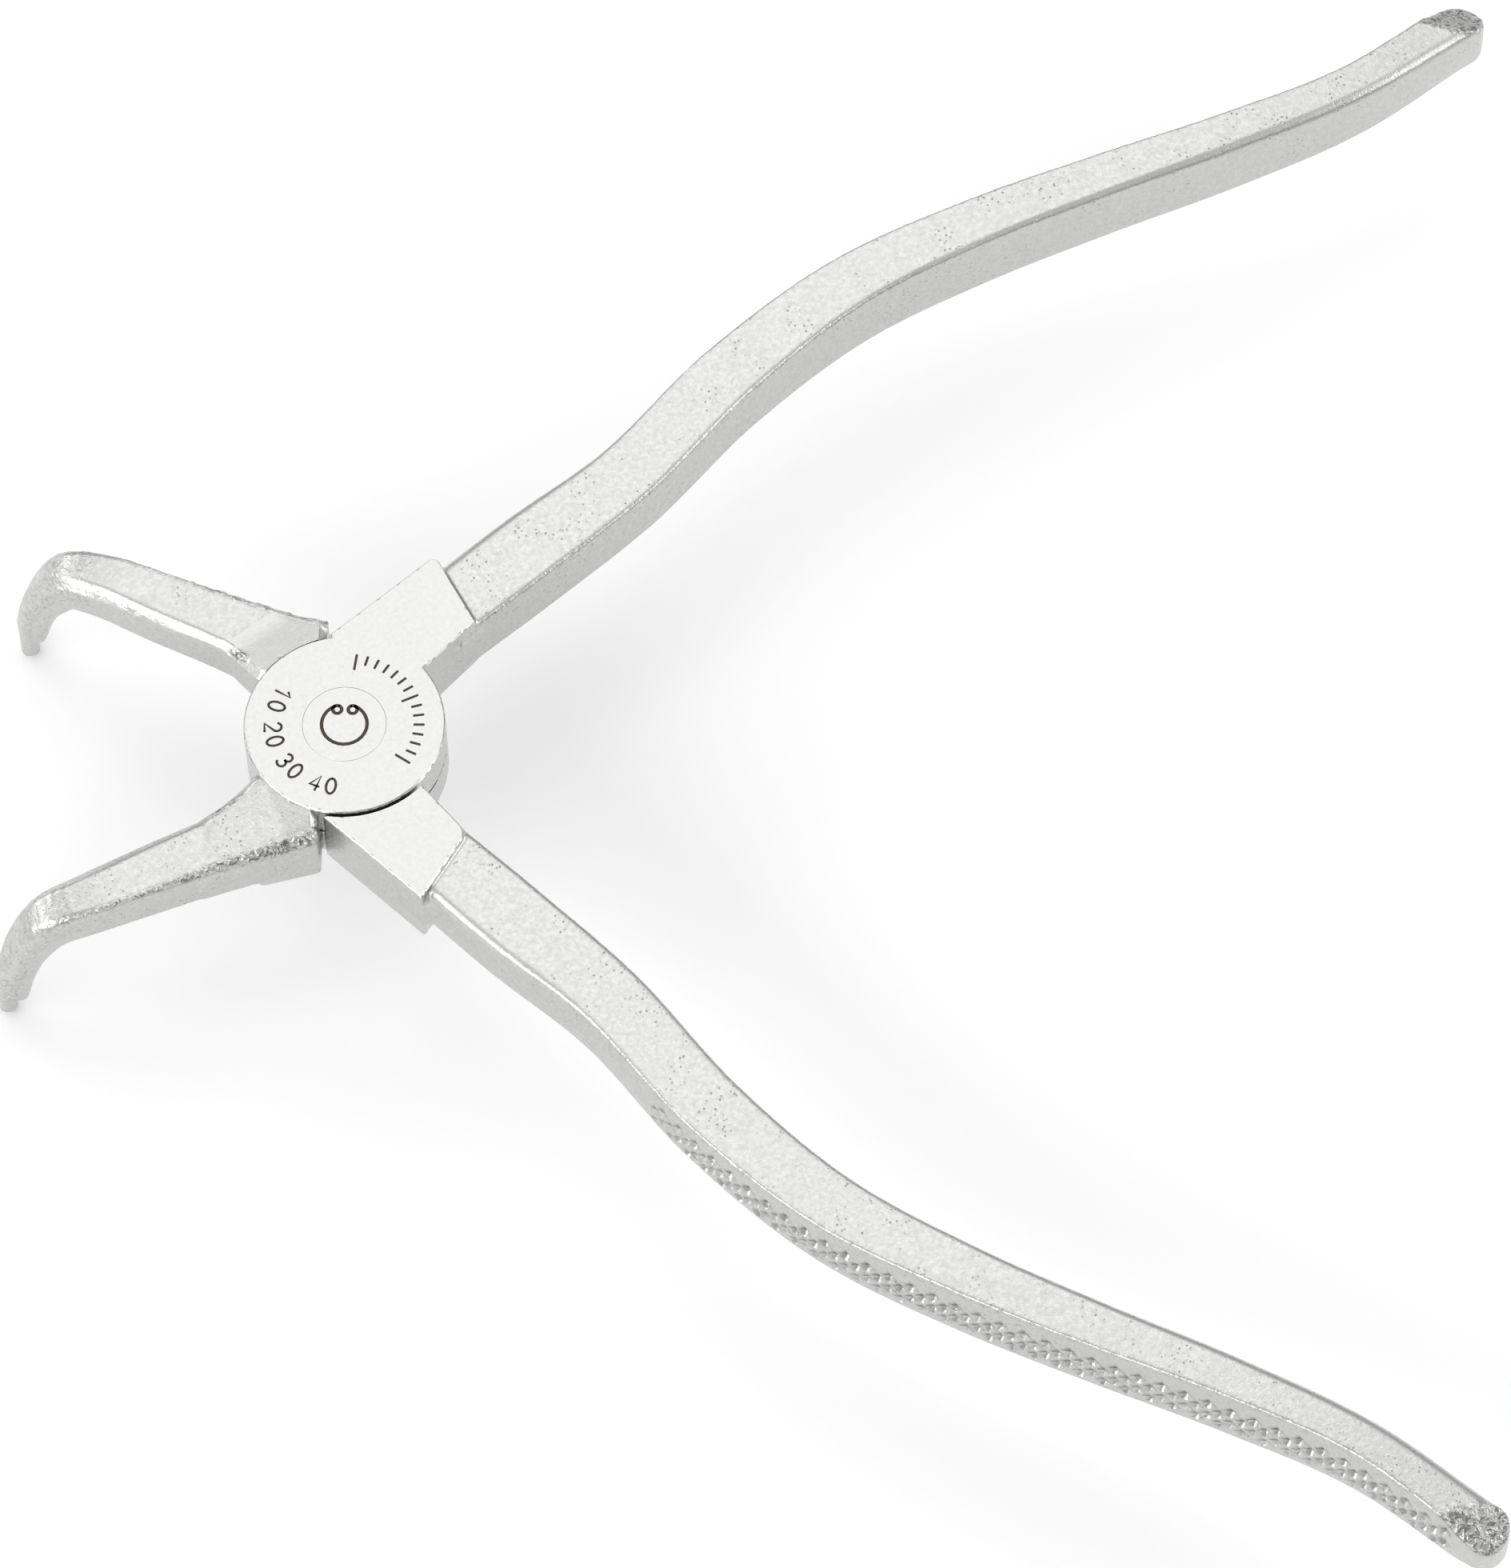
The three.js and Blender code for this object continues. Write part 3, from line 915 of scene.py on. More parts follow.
@dataclass
class Root:
    """The jaw's root beside the lap: a sloping top, a stop face and a ground foot.

    Attributes:
        stop_gap_deg: room between the stop face and the other arm's shoulder.
        slope_reach: how far inside the bore's edge the slope starts.
        lip: how far the slope starts below the head's face.
        step: how far the root's underside lies above the foot's.
        blade_share: half width of the root where it meets the blade, in blade widths.
        edge_bevel: the cut along the outer top edge.
        rim_bevel: the cut round the rest of the top.
        ground_end: where the lower arm's ground facet ends, along the slope's heading.
    """

    head: Head
    jaw: Jaw
    inner_deg: float = 211.8
    inner_length: float = 4.06
    inner_heading: float = 226.0
    outer_length: float = 2.2
    stop_gap_deg: float = 2.2
    slope_deg: float = 10.5
    slope_heading: float = 230.0
    slope_reach: float = 1.5
    lip: float = 0.08
    step: float = 1.3
    foot_length: float = 6.2
    foot_heading: float = 195.0
    blade_share: float = 0.5
    edge_bevel: float = 1.1
    rim_bevel: float = 0.75
    ground_end: float = 14.7

    def __post_init__(self) -> None:
        """Works out the outlines of the root and of its foot."""
        bore = self.head.bore
        outer_deg = 360 - self.head.shoulder_outer_deg
        inner_start = bore * heading(self.inner_deg)
        inner_end = inner_start + self.inner_length * heading(self.inner_heading)
        outer_start = bore * heading(outer_deg - self.stop_gap_deg)
        outer_end = outer_start + self.outer_length * heading(270)
        hub = self.head.radius / 2 * heading((self.inner_deg + outer_deg) / 2)
        table = np.array(self.jaw.stations[1])
        blade = ((bore + self.jaw.start_reach) * heading(self.jaw.start_deg)
                 + self.jaw.length * (table[0] * heading(self.jaw.heading_deg)
                                      + table[1] * heading(self.jaw.heading_deg + 90)))
        half = np.array([0, self.blade_share * table[3]])
        foot_end = outer_end + self.foot_length * heading(self.foot_heading)
        self.outer_edge = (outer_end, blade - half)
        self.body = rounded_outline([hub, inner_start, inner_end, blade + half, blade - half,
                                     outer_end, outer_start], [0, 0.4, 1.2, 0, 0, 0.25, 0])
        self.foot = rounded_outline([hub, inner_start, foot_end, outer_end, outer_start],
                                    [0, 0, 0.5, 0.25, 0])

    def above_slope(self, points: Array) -> Array:
        """Measures how far points lie above the sloping top.

        Args:
            points: places, one row each.

        Returns:
            The distances, negative below the top.
        """
        along = points[:, :2] @ heading(self.slope_heading) - self.head.bore + self.slope_reach
        tilt = math.radians(self.slope_deg)
        return (points[:, 2] + self.lip) * math.cos(tilt) + along * math.sin(tilt)

    def distance(self, points: Array) -> Array:
        """Measures the root with its foot.

        Args:
            points: places, one row each.

        Returns:
            The distances, negative inside.
        """
        middle, half = self.head.middle, self.head.thickness / 2
        level = outline_distance(points[:, :2], self.body)
        top = np.maximum(self.above_slope(points), points[:, 2])
        under = middle - half + self.step - points[:, 2]
        start, end = self.outer_edge
        edge = (end - start) / np.linalg.norm(end - start)
        out = (points[:, :2] - start) @ np.array([-edge[1], edge[0]])
        slope = (out + top * 0.9 + self.edge_bevel * 0.8) / math.hypot(1, 0.9)
        body = -joined(-slab(level, np.maximum(top, under), self.rim_bevel), -slope, 0.3)
        foot_level = outline_distance(points[:, :2], self.foot)
        foot_height = np.maximum(middle - half - points[:, 2], points[:, 2] - middle)
        return joined(body, slab(foot_level, foot_height, self.head.bevel), 0.35)


# ---- finishes ----


class Mix(Enum):
    """How two sockets are put together by a math node."""

    ADD = "ADD"
    TIMES = "MULTIPLY"
    LESS = "SUBTRACT"
    POWER = "POWER"


@dataclass
class Nodes:
    """A small hand for wiring a node tree."""

    tree: bpy.types.NodeTree

    def add(self, kind: str, **settings: object) -> bpy.types.Node:
        """Adds a node and sets its properties and its inputs' values.

        Args:
            kind: the node's type without its ShaderNode prefix.
            settings: properties by name, or inputs with their name's spaces as underscores.

        Returns:
            The node.
        """
        node = self.tree.nodes.new("ShaderNode" + kind)
        for name, value in settings.items():
            if hasattr(node, name):
                setattr(node, name, value)
            else:
                self.feed(node.inputs[name.replace("_", " ")], value)
        return node

    def feed(self, socket: bpy.types.NodeSocket, value: object) -> None:
        """Links a socket, or sets it to a plain value.

        Args:
            socket: the input.
            value: the output to link, or the value to set.
        """
        if isinstance(value, bpy.types.NodeSocket):
            self.tree.links.new(value, socket)
        else:
            socket.default_value = value

    def math(self, how: Mix, first: object, second: object) -> bpy.types.NodeSocket:
        """Puts two numbers together.

        Args:
            how: what to do with them.
            first: a socket or a number.
            second: another one.

        Returns:
            The result.
        """
        node = self.add("Math", operation=how.value)
        self.feed(node.inputs[0], first)
        self.feed(node.inputs[1], second)
        return node.outputs[0]

    def scale(self, length: object) -> bpy.types.NodeSocket:
        """Turns a length in millimetres into a texture's scale."""
        return self.math(Mix.POWER, self.math(Mix.TIMES, length, MM), -1.0)

    def remap(self, value: object, low: float, high: float, start: float, end: float
              ) -> bpy.types.NodeSocket:
        """Stretches a number from one range to another, held inside it."""
        return self.add("MapRange", Value=value, From_Min=low, From_Max=high, To_Min=start,
                        To_Max=end).outputs[0]

    def tint(self, share: object, first: tuple[float, ...], second: tuple[float, ...]
             ) -> bpy.types.NodeSocket:
        """Goes from one colour to another.

        Args:
            share: 0 for the first colour, 1 for the second.
            first: a colour.
            second: another one.

        Returns:
            The colour.
        """
        node = self.add("Mix", data_type="RGBA")
        self.feed(node.inputs[0], share)
        self.feed(node.inputs[6], first)
        self.feed(node.inputs[7], second)
        return node.outputs[2]


def new_group(name: str, inputs: dict[str, float], outputs: list[str]
              ) -> tuple[bpy.types.NodeTree, Nodes, bpy.types.Node, bpy.types.Node]:
    """Starts a shader node group of numbers.

    Args:
        name: the group's name.
        inputs: the inputs and their usual values.
        outputs: the outputs.

    Returns:
        The group, a hand for wiring it, and its input and output nodes.
    """
    group = bpy.data.node_groups.new(name, "ShaderNodeTree")
    for label, usual in inputs.items():
        socket = group.interface.new_socket(name=label, in_out="INPUT", socket_type="NodeSocketFloat")
        socket.default_value = usual
    for label in outputs:
        group.interface.new_socket(name=label, in_out="OUTPUT", socket_type="NodeSocketFloat")
    return group, Nodes(group), group.nodes.new("NodeGroupInput"), group.nodes.new("NodeGroupOutput")


def grain_group() -> bpy.types.NodeTree:
    """Makes the grain of blasted or forged steel.

    Returns:
        A group with the inputs Grain and Pits, in millimetres, and the outputs Height, Cloud, Pit
        and Crease.
    """
    group, nodes, given, made = new_group("Steel grain", {"Grain": 0.3, "Pits": 1.4},
                                          ["Height", "Cloud", "Pit", "Crease"])
    place = nodes.add("TexCoord").outputs["Object"]
    fine_scale, pit_scale = (nodes.scale(given.outputs[label]) for label in ("Grain", "Pits"))
    fine = nodes.add("TexNoise", Vector=place, Scale=fine_scale, Detail=3.0, Roughness=0.6)
    cells = nodes.add("TexVoronoi", Vector=place, Scale=pit_scale, Randomness=1.0)
    pit = nodes.remap(cells.outputs["Distance"], 0.08, 0.26, 1.0, 0.0)
    where = nodes.add("TexNoise", Vector=place, Scale=260.0, Detail=3.0)
    pit = nodes.math(Mix.TIMES, pit, nodes.remap(where.outputs["Fac"], 0.48, 0.6, 0.0, 1.0))
    cloud = nodes.add("TexNoise", Vector=place, Scale=2200.0, Detail=3.0, Roughness=0.6)
    crease = nodes.add("TexNoise", Vector=place, Scale=1300.0, Detail=3.0, Distortion=1.6)
    nodes.feed(made.inputs["Crease"], crease.outputs["Fac"])
    height = nodes.math(Mix.LESS, fine.outputs["Fac"], nodes.math(Mix.TIMES, pit, 0.8))
    nodes.feed(made.inputs["Height"], height)
    nodes.feed(made.inputs["Cloud"], nodes.remap(cloud.outputs["Fac"], 0.35, 0.65, 0.0, 1.0))
    nodes.feed(made.inputs["Pit"], pit)
    return group


def scratch_group() -> bpy.types.NodeTree:
    """Makes the fine straight scratches that a grinding belt leaves.

    Returns:
        A group with the inputs Width and Length, in millimetres, and Turn, in radians, and the
        outputs Height and Line.
    """
    group, nodes, given, made = new_group("Grinding scratches",
                                          {"Width": 0.05, "Length": 4.0, "Turn": 0.6},
                                          ["Height", "Line"])
    place = nodes.add("TexCoord").outputs["Object"]
    height: object = 0.0
    line: object = 0.0
    for lean, share in ((0.0, 0.6), (0.34, 0.25), (-0.5, 0.15)):
        turn = nodes.add("CombineXYZ", Z=nodes.math(Mix.ADD, given.outputs["Turn"], lean))
        turned = nodes.add("VectorRotate", rotation_type="EULER_XYZ", Vector=place)
        nodes.feed(turned.inputs["Rotation"], turn.outputs[0])
        thin, long = (nodes.scale(given.outputs[label]) for label in ("Width", "Length"))
        stretch = nodes.add("CombineXYZ", X=long, Y=thin, Z=long)
        stretched = nodes.add("VectorMath", operation="MULTIPLY")
        nodes.feed(stretched.inputs[0], turned.outputs[0])
        nodes.feed(stretched.inputs[1], stretch.outputs[0])
        noise = nodes.add("TexNoise", Vector=stretched.outputs[0], Scale=1.0, Detail=2.0).outputs["Fac"]
        height = nodes.math(Mix.ADD, height, nodes.math(Mix.TIMES, noise, share))
        line = nodes.math(Mix.ADD, line, nodes.remap(noise, 0.66, 0.78, 0.0, share))
    nodes.feed(made.inputs["Height"], height)
    nodes.feed(made.inputs["Line"], line)
    return group


def wear_group() -> bpy.types.NodeTree:
    """Makes a mask of the rubbed edges.

    Returns:
        A group with the input Reach, in millimetres, and the output Edge.
    """
    group, nodes, given, made = new_group("Rubbed edges", {"Reach": 0.25}, ["Edge"])
    bevel = nodes.add("Bevel", samples=6)
    nodes.feed(bevel.inputs["Radius"], nodes.math(Mix.TIMES, given.outputs["Reach"], MM))
    plain = nodes.add("NewGeometry")
    alike = nodes.add("VectorMath", operation="DOT_PRODUCT")
    nodes.feed(alike.inputs[0], bevel.outputs[0])
    nodes.feed(alike.inputs[1], plain.outputs["Normal"])
    uneven = nodes.add("TexNoise", Vector=nodes.add("TexCoord").outputs["Object"], Scale=900.0)
    edge = nodes.remap(alike.outputs["Value"], 0.99, 0.86, 0.0, 1.0)
    worn = nodes.remap(uneven.outputs["Fac"], 0.35, 0.6, 0.35, 1.0)
    nodes.feed(made.inputs["Edge"], nodes.math(Mix.TIMES, edge, worn))
    return group


@dataclass(frozen=True)
class Groups:
    """The shared effects, made once."""

    grain: bpy.types.NodeTree
    scratches: bpy.types.NodeTree
    wear: bpy.types.NodeTree


@dataclass(frozen=True)
class Finish:
    """A finish that can be made into a material."""

    name: str
    light: tuple[float, float, float, float]
    dark: tuple[float, float, float, float]
    smooth: float
    rough: float

    def started(self) -> tuple[bpy.types.Material, Nodes, bpy.types.Node]:
        """Starts the finish's material.

        Returns:
            The material, a hand for wiring it, and its surface shader.
        """
        material = bpy.data.materials.new(self.name)
        material.use_nodes = True
        return material, Nodes(material.node_tree), material.node_tree.nodes["Principled BSDF"]

    def effect(self, nodes: Nodes, group: bpy.types.NodeTree, **values: float) -> bpy.types.Node:
        """Places a shared effect with this finish's own values.

        Args:
            nodes: the hand for wiring the material.
            group: the shared effect.
            values: its inputs' values by name.

        Returns:
            The node.
        """
        node = nodes.add("Group", node_tree=group)
        for label, value in values.items():
            node.inputs[label].default_value = value
        return node


@dataclass(frozen=True)
class SteelFinish(Finish):
    """Satin nickel over steel, with grain from the forging or scratches from the belt, and with painted
    shade in the knurl pits and painted dark reflections on crumpled skin.
    """

    grain: float = 0.3
    grain_depth: float = 0.02
    scratch_depth: float = 0.0
    turn: float = 0.6
    cloud_shade: float = 0.14
    pit_shade: float = 0.6
    # Weight of the painted shade on the knurl pits' upper facets.
    painted_knurl_shade_weight: float = 1.3
    # Weight of the painted dark reflections in the crumpled streaks.
    painted_streak_weight: float = 0.75
    rubbed_shade: float = 0.15
    crease_depth: float = 0.24

    def material(self, groups: Groups) -> bpy.types.Material:
        """Makes the material.

        Args:
            groups: the shared effects.

        Returns:
            The material.
        """
        material, nodes, surface = self.started()
        grain = self.effect(nodes, groups.grain, Grain=self.grain, Pits=0.5)
        lines = self.effect(nodes, groups.scratches, Width=0.07, Length=5.0, Turn=self.turn)
        wear = self.effect(nodes, groups.wear, Reach=0.22)
        # hollow: painted shade on the knurl pits' upper, downward facing facets; bruise: how crumpled the
        # skin is.
        hollow, bruised = (nodes.add("Attribute", attribute_name=name).outputs["Fac"]
                           for name in ("hollow", "bruise"))
        # Painted dark reflections: crumpled skin goes dark in noise streaks.
        painted_dark_streaks = nodes.remap(grain.outputs["Crease"], 0.51, 0.6, 0.0, self.painted_streak_weight)
        # Base colour: darker with random cloud and grain pits, with painted shade on the knurl pits' upper
        # facets and with painted dark reflections in crumpled streaks; lighter on rubbed edges.
        shade: object = 0.0
        for mask, share in ((grain.outputs["Cloud"], self.cloud_shade),
                            (grain.outputs["Pit"], self.pit_shade), (hollow, self.painted_knurl_shade_weight),
                            (painted_dark_streaks, bruised), (wear.outputs["Edge"], -self.rubbed_shade)):
            shade = nodes.math(Mix.ADD, shade, nodes.math(Mix.TIMES, mask, share))
        surface.inputs["Metallic"].default_value = 1.0
        nodes.feed(surface.inputs["Base Color"],
                   nodes.tint(nodes.remap(shade, 0.0, 1.0, 0.0, 1.0), self.light, self.dark))
        dull = nodes.math(Mix.LESS, grain.outputs["Cloud"],
                          nodes.math(Mix.ADD, lines.outputs["Line"], bruised))
        nodes.feed(surface.inputs["Roughness"],
                   nodes.remap(dull, -1.0, 1.0, self.smooth, self.rough))
        height = nodes.math(Mix.ADD, nodes.math(Mix.TIMES, grain.outputs["Height"], self.grain_depth),
                            nodes.math(Mix.TIMES, lines.outputs["Height"], self.scratch_depth))
        creases = nodes.math(Mix.TIMES, nodes.math(Mix.TIMES, grain.outputs["Crease"], bruised),
                             self.crease_depth)
        height = nodes.math(Mix.ADD, height, creases)
        bump = nodes.add("Bump", Height=height, Distance=MM, Strength=1.0)
        nodes.feed(surface.inputs["Normal"], bump.outputs[0])
        return material


@dataclass(frozen=True)
class MarkFinish(Finish):
    """Dark oxide burnt in by a laser."""

    def material(self, groups: Groups) -> bpy.types.Material:
        """Makes the material.

        Args:
            groups: the shared effects.

        Returns:
            The material.
        """
        material, nodes, surface = self.started()
        grain = self.effect(nodes, groups.grain, Grain=0.12, Pits=0.5)
        surface.inputs["Metallic"].default_value = 0.4
        nodes.feed(surface.inputs["Base Color"],
                   nodes.tint(grain.outputs["Height"], self.light, self.dark))
        nodes.feed(surface.inputs["Roughness"],
                   nodes.remap(grain.outputs["Cloud"], 0.0, 1.0, self.smooth, self.rough))
        bump = nodes.add("Bump", Height=grain.outputs["Height"], Distance=0.02 * MM, Strength=0.6)
        nodes.feed(surface.inputs["Normal"], bump.outputs[0])
        return material


# Each steel finish goes towards its dark colour with the grain's pits and clouds, with painted shade in the
# knurl pits and with painted dark reflections on crumpled skin.
FORGED = SteelFinish("Forged satin steel", (0.60, 0.60, 0.595, 1), (0.16, 0.16, 0.155, 1),
                     smooth=0.18, rough=0.36, grain=0.2, grain_depth=0.034, scratch_depth=0.002)
GROUND = SteelFinish("Ground satin steel", (0.585, 0.585, 0.58, 1), (0.48, 0.48, 0.47, 1),
                     smooth=0.23, rough=0.3, grain=0.5, grain_depth=0.001, scratch_depth=0.011,
                     turn=-0.62)
BURNT = MarkFinish("Laser mark", (0.075, 0.062, 0.05, 1), (0.02, 0.016, 0.013, 1),
                   smooth=0.45, rough=0.7)


# ---- pieces ----


class Side(Enum):
    """Which half of the lap an arm has, and which way its handle goes."""

    UPPER = 1
    LOWER = -1


@dataclass
class Arm:
    """One forged arm: half of the lap, the shoulder, the handle and the jaw.

    Attributes:
        waves: height and cell of each layer of the forged skin's unevenness.
        crumple: the same for the bruised edges and facets.
        relax_reach: full and no smoothing, by distance from where the root meets the blade.
    """

    side: Side
    head: Head
    crease_deg: float = 34.0
    grain_seed: int = 5
    waves: tuple[tuple[float, float], ...] = ((0.006, 2.6), (0.004, 0.6))
    crumple: tuple[float, float] = (0.085, 0.42)
    relax_reach: tuple[float, float] = (4.0, 8.0)

    def __post_init__(self) -> None:
        """Makes the arm's parts."""
        if self.side is Side.LOWER:
            self.head = Head(inner_round=1.4, outer_round=0.25, radius=self.head.radius)
        self.handle = Handle(self.head)
        self.jaw = Jaw(self.head)
        self.root = Root(self.head, self.jaw)

    def reflected(self, points: Array) -> Array:
        """Returns points as they lie to the arm whose handle is at +Y."""
        return points * np.array([1, self.side.value, 1])

    def forging(self, points: Array) -> Array:
        """Measures the whole forging before the lap and the bore are cut.

        Args:
            points: places, one row each.

        Returns:
            The distances, negative inside.
        """
        head = boxed(points, [-10, -10, -8], [20, 24, 0.2], self.head.distance)
        handle = boxed(points, [6, 8, -8.2], [112, 86, 0.4], self.handle.distance)
        root = boxed(points, [-18, -18, -8], [0, 0, 0.2], self.root.distance)
        jaw = boxed(points, [-35, -23, -22], [-4, -7, -1], self.jaw.distance)
        buried = self.head.thickness / 2 - np.abs(points[:, 2] - self.head.middle)
        back = joined(head, handle, 0.35 + 1.2 * ease(0.8, 2.2, buried))
        front = joined(root, jaw, 1.2 if self.side is Side.UPPER else 0.3)
        planes = np.abs(points[:, 2] - self.head.middle) - self.head.thickness / 2
        near_head = np.minimum(np.minimum(back, front), np.minimum(head, root))
        flush = np.where(points[:, 2] > self.head.middle - 3, planes, -1)
        return np.where(head < 2.0, np.maximum(near_head, flush), near_head)

    def distance(self, points: Array) -> Array:
        """Measures the finished arm.

        Args:
            points: places, one row each.

        Returns:
            The distances, negative inside.
        """
        upper = self.side is Side.UPPER
        mirrored = self.reflected(points)
        body = self.forging(mirrored)
        body = np.maximum(body, -self.head.other_lap(mirrored, upper))
        return np.maximum(body, -self.head.rivet(points, self.head.rivet_gap))

    def lattice(self) -> tuple[Array, Array, Array]:
        """Lays the lattice planes: close at the head and jaw, wider along the handle.

        Returns:
            The places of the planes along X, Y and Z.
        """
        fine, wide, thin = ((0.18, 0.27, 0.085))
        low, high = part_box("upper_lap_arm")
        low, high = np.array(low) / MM, np.array(high) / MM
        edge, far = 0.35, 20.0
        xs = spaced([(far, fine), (high[0] + 1, wide)], low[0] - 1)
        ys = spaced([(far, fine), (high[1] + 1, wide)], low[1] - 1)
        bottom, middle = -self.head.thickness, self.head.middle
        zs = spaced([(bottom - edge, fine), (bottom + edge, thin), (middle - edge, fine),
                     (middle + edge, thin), (-edge, fine), (edge * 0.7, thin)], low[2] - 1)
        if self.side is Side.LOWER:
            ys = -ys[::-1]
        shift = 0.0137
        return xs + shift, ys + shift, zs + shift

    def hammered(self, vertices: Array, faces: Array) -> Array:
        """Gives the forged skin its uneven grain and leaves ground faces flat.

        Args:
            vertices: places of the vertices.
            faces: the mesh's faces.

        Returns:
            The moved vertices.
        """
        normals = vertex_normals(vertices, faces)
        mirrored = self.reflected(vertices)
        forged = ease(0.05, 0.5, self.head.distance(mirrored))
        over_pin = mirrored[:, 2] > self.jaw.pin_axis[2] + 1.3
        forged = forged * ease(1.0, 1.5, self.jaw.pin_reach(mirrored) + 9 * over_pin)
        if self.side is Side.LOWER:
            forged = forged * np.where(self.on_ground_slope(mirrored), 0.15, 1.0)
        bruised = self.bruises(mirrored)
        seed = self.grain_seed + self.side.value
        lift = sum(height * lattice_noise(vertices, cell, seed + 7 * i)
                   for i, (height, cell) in enumerate(self.waves))
        rough = self.crumple[0] * lattice_noise(vertices, self.crumple[1], seed + 3)
        return vertices + normals * ((lift + bruised * rough) * forged - 0.01 * forged)[:, None]

    def relaxed(self, vertices: Array, faces: Array, rounds: int = 12) -> Array:
        """Evens the skin out where the upper arm's root runs into the blade.

        Args:
            vertices: places of the vertices.
            faces: the mesh's faces.
            rounds: how often each vertex moves halfway to its neighbours' middle.

        Returns:
            The moved vertices.
        """
        if self.side is Side.LOWER:
            return vertices
        centre = (self.head.bore + self.jaw.start_reach + 0.5) * heading(self.jaw.start_deg)
        share = 1 - ease(*self.relax_reach, np.hypot(*(vertices[:, :2] - centre).T))
        share = share * ease(0.35, 1.2, self.head.distance(vertices))
        edges = np.concatenate([faces[:, [i, (i + 1) % 4]] for i in range(4)])
        count = np.maximum(np.bincount(edges[:, 0], minlength=len(vertices)), 1)
        for _ in range(rounds):
            middle = np.stack([np.bincount(edges[:, 0], vertices[edges[:, 1], i], len(vertices)) / count
                               for i in range(3)], 1)
            vertices = vertices + (middle - vertices) * 0.5 * share[:, None]
        return vertices

    def on_ground_slope(self, mirrored: Array) -> Array:
        """Tells which points lie on the jaw root's ground facet.

        Args:
            mirrored: points as they lie to the arm whose handle is at +Y.

        Returns:
            A truth value for each point.
        """
        off = np.abs(self.root.above_slope(mirrored)) < 0.12
        along = mirrored[:, :2] @ heading(self.root.slope_heading)
        return off & (along < self.root.ground_end) & (mirrored[:, 0] < -1)

    def bruises(self, mirrored: Array) -> Array:
        """Tells how crumpled the skin is, on the jaw's long edges and the handle's end facet, where the
        material also paints dark reflections in streaks.

        Args:
            mirrored: points as they lie to the arm whose handle is at +Y.

        Returns:
            From 0 for even skin to 1 for crumpled skin, for each point.
        """
        along, aside, height, share = self.handle.local(mirrored)
        facet = 1 - ease(0.1, 0.35, np.abs(self.handle.end_facet(along, aside, height)))
        facet = facet * (along > self.handle.length - 6)
        width, tall = self.handle.sizes(share)
        corner = np.hypot(np.abs(aside) - width / 2, height - tall / 2)
        edge = 0.35 * (1 - ease(0.2, 0.7, corner)) * (along > 0)
        on_jaw = (mirrored[:, 0] < -1) & (self.head.distance(mirrored) > 0.3)
        total = np.maximum(facet, edge) * ~on_jaw
        part, inner, up = self.jaw.local(mirrored[on_jaw])
        wide, deep, _ = drawn(self.jaw.share, self.jaw.sizes, part).T
        reach = np.where(inner > 0, 0.5 + 0.5 * ease(0.1, 0.45, part), 1 - 0.5 * ease(0.1, 0.4, part))
        bevel = 1 - ease(0.5, 1.0, np.hypot(np.abs(inner) - wide / 2, up - deep / 2) / reach)
        total[on_jaw] = np.maximum(bevel * (part < 0.93), 0.3 * ease(0.5, 0.6, part) * (up > 0))
        return total

    def ground_faces(self, vertices: Array, faces: Array) -> Array:
        """Tells which faces the belt or the lathe has touched.

        Args:
            vertices: places of the vertices.
            faces: the mesh's faces.

        Returns:
            A truth value for each face.
        """
        centre = self.reflected(vertices[faces].mean(1))
        head = np.abs(self.head.distance(centre)) < 0.06
        round_walls = reach_of(centre) < self.head.bore + 0.12
        top = self.jaw.pin_axis[2] + self.jaw.kerf_height
        turned = (self.jaw.pin_reach(centre) < self.jaw.pin_radius + 0.08) & (centre[:, 2] < top)
        ground = head | round_walls | turned
        if self.side is Side.LOWER:
            ground |= self.on_ground_slope(centre)
        return ground

    def painted_knurl_shade(self, vertices: Array) -> Array:
        """Tells where painted shade darkens the upper, downward facing facets of the knurl pits.

        Args:
            vertices: places of the vertices.

        Returns:
            From 0 on the skin to 1 on the pits' upper facets, for each vertex.
        """
        _, aside, height, share = self.handle.local(self.reflected(vertices))
        arc, knurl = self.handle.length_to(share), self.handle.knurl
        above = knurl.pits(arc, height - 0.25) - knurl.pits(arc, height + 0.25)
        return np.clip(above / knurl.depth * 2.5, 0, 1) * (aside > 1)

    def build(self) -> bpy.types.Object:
        """Builds the arm's mesh and marks its faces.

        Returns:
            The arm, in the frame.
        """
        vertices, faces = Contourer(self.lattice(), self.distance).mesh()
        ground = self.ground_faces(vertices, faces)
        vertices = self.relaxed(vertices, faces)
        moved = self.hammered(vertices, faces)
        made = quad_object(f"{self.side.name.lower()}_arm_forging", moved, faces, self.crease_deg)
        made.data.polygons.foreach_set("material_index", ground.astype(np.int32))
        bruised = self.bruises(self.reflected(vertices))
        # hollow holds the painted shade of the knurl pits' upper facets.
        for label, values in (("hollow", self.painted_knurl_shade(vertices)), ("bruise", bruised)):
            attribute = made.data.attributes.new(label, "FLOAT", "POINT")
            attribute.data.foreach_set("value", values.astype(np.float32))
        return made

    def dress(self, made: bpy.types.Object, forged: bpy.types.Material, ground: bpy.types.Material
              ) -> None:
        """Gives the arm its two finishes and puts it on its body.

        Args:
            made: the arm's object.
            forged: the finish of the forged skin.
            ground: the finish of the ground faces.
        """
        made.data.materials.append(forged)
        made.data.materials.append(ground)
        node = f"{self.side.name.lower()}_lap_arm"
        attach(made, f"{self.side.name.lower()}_arm")
        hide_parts(node)


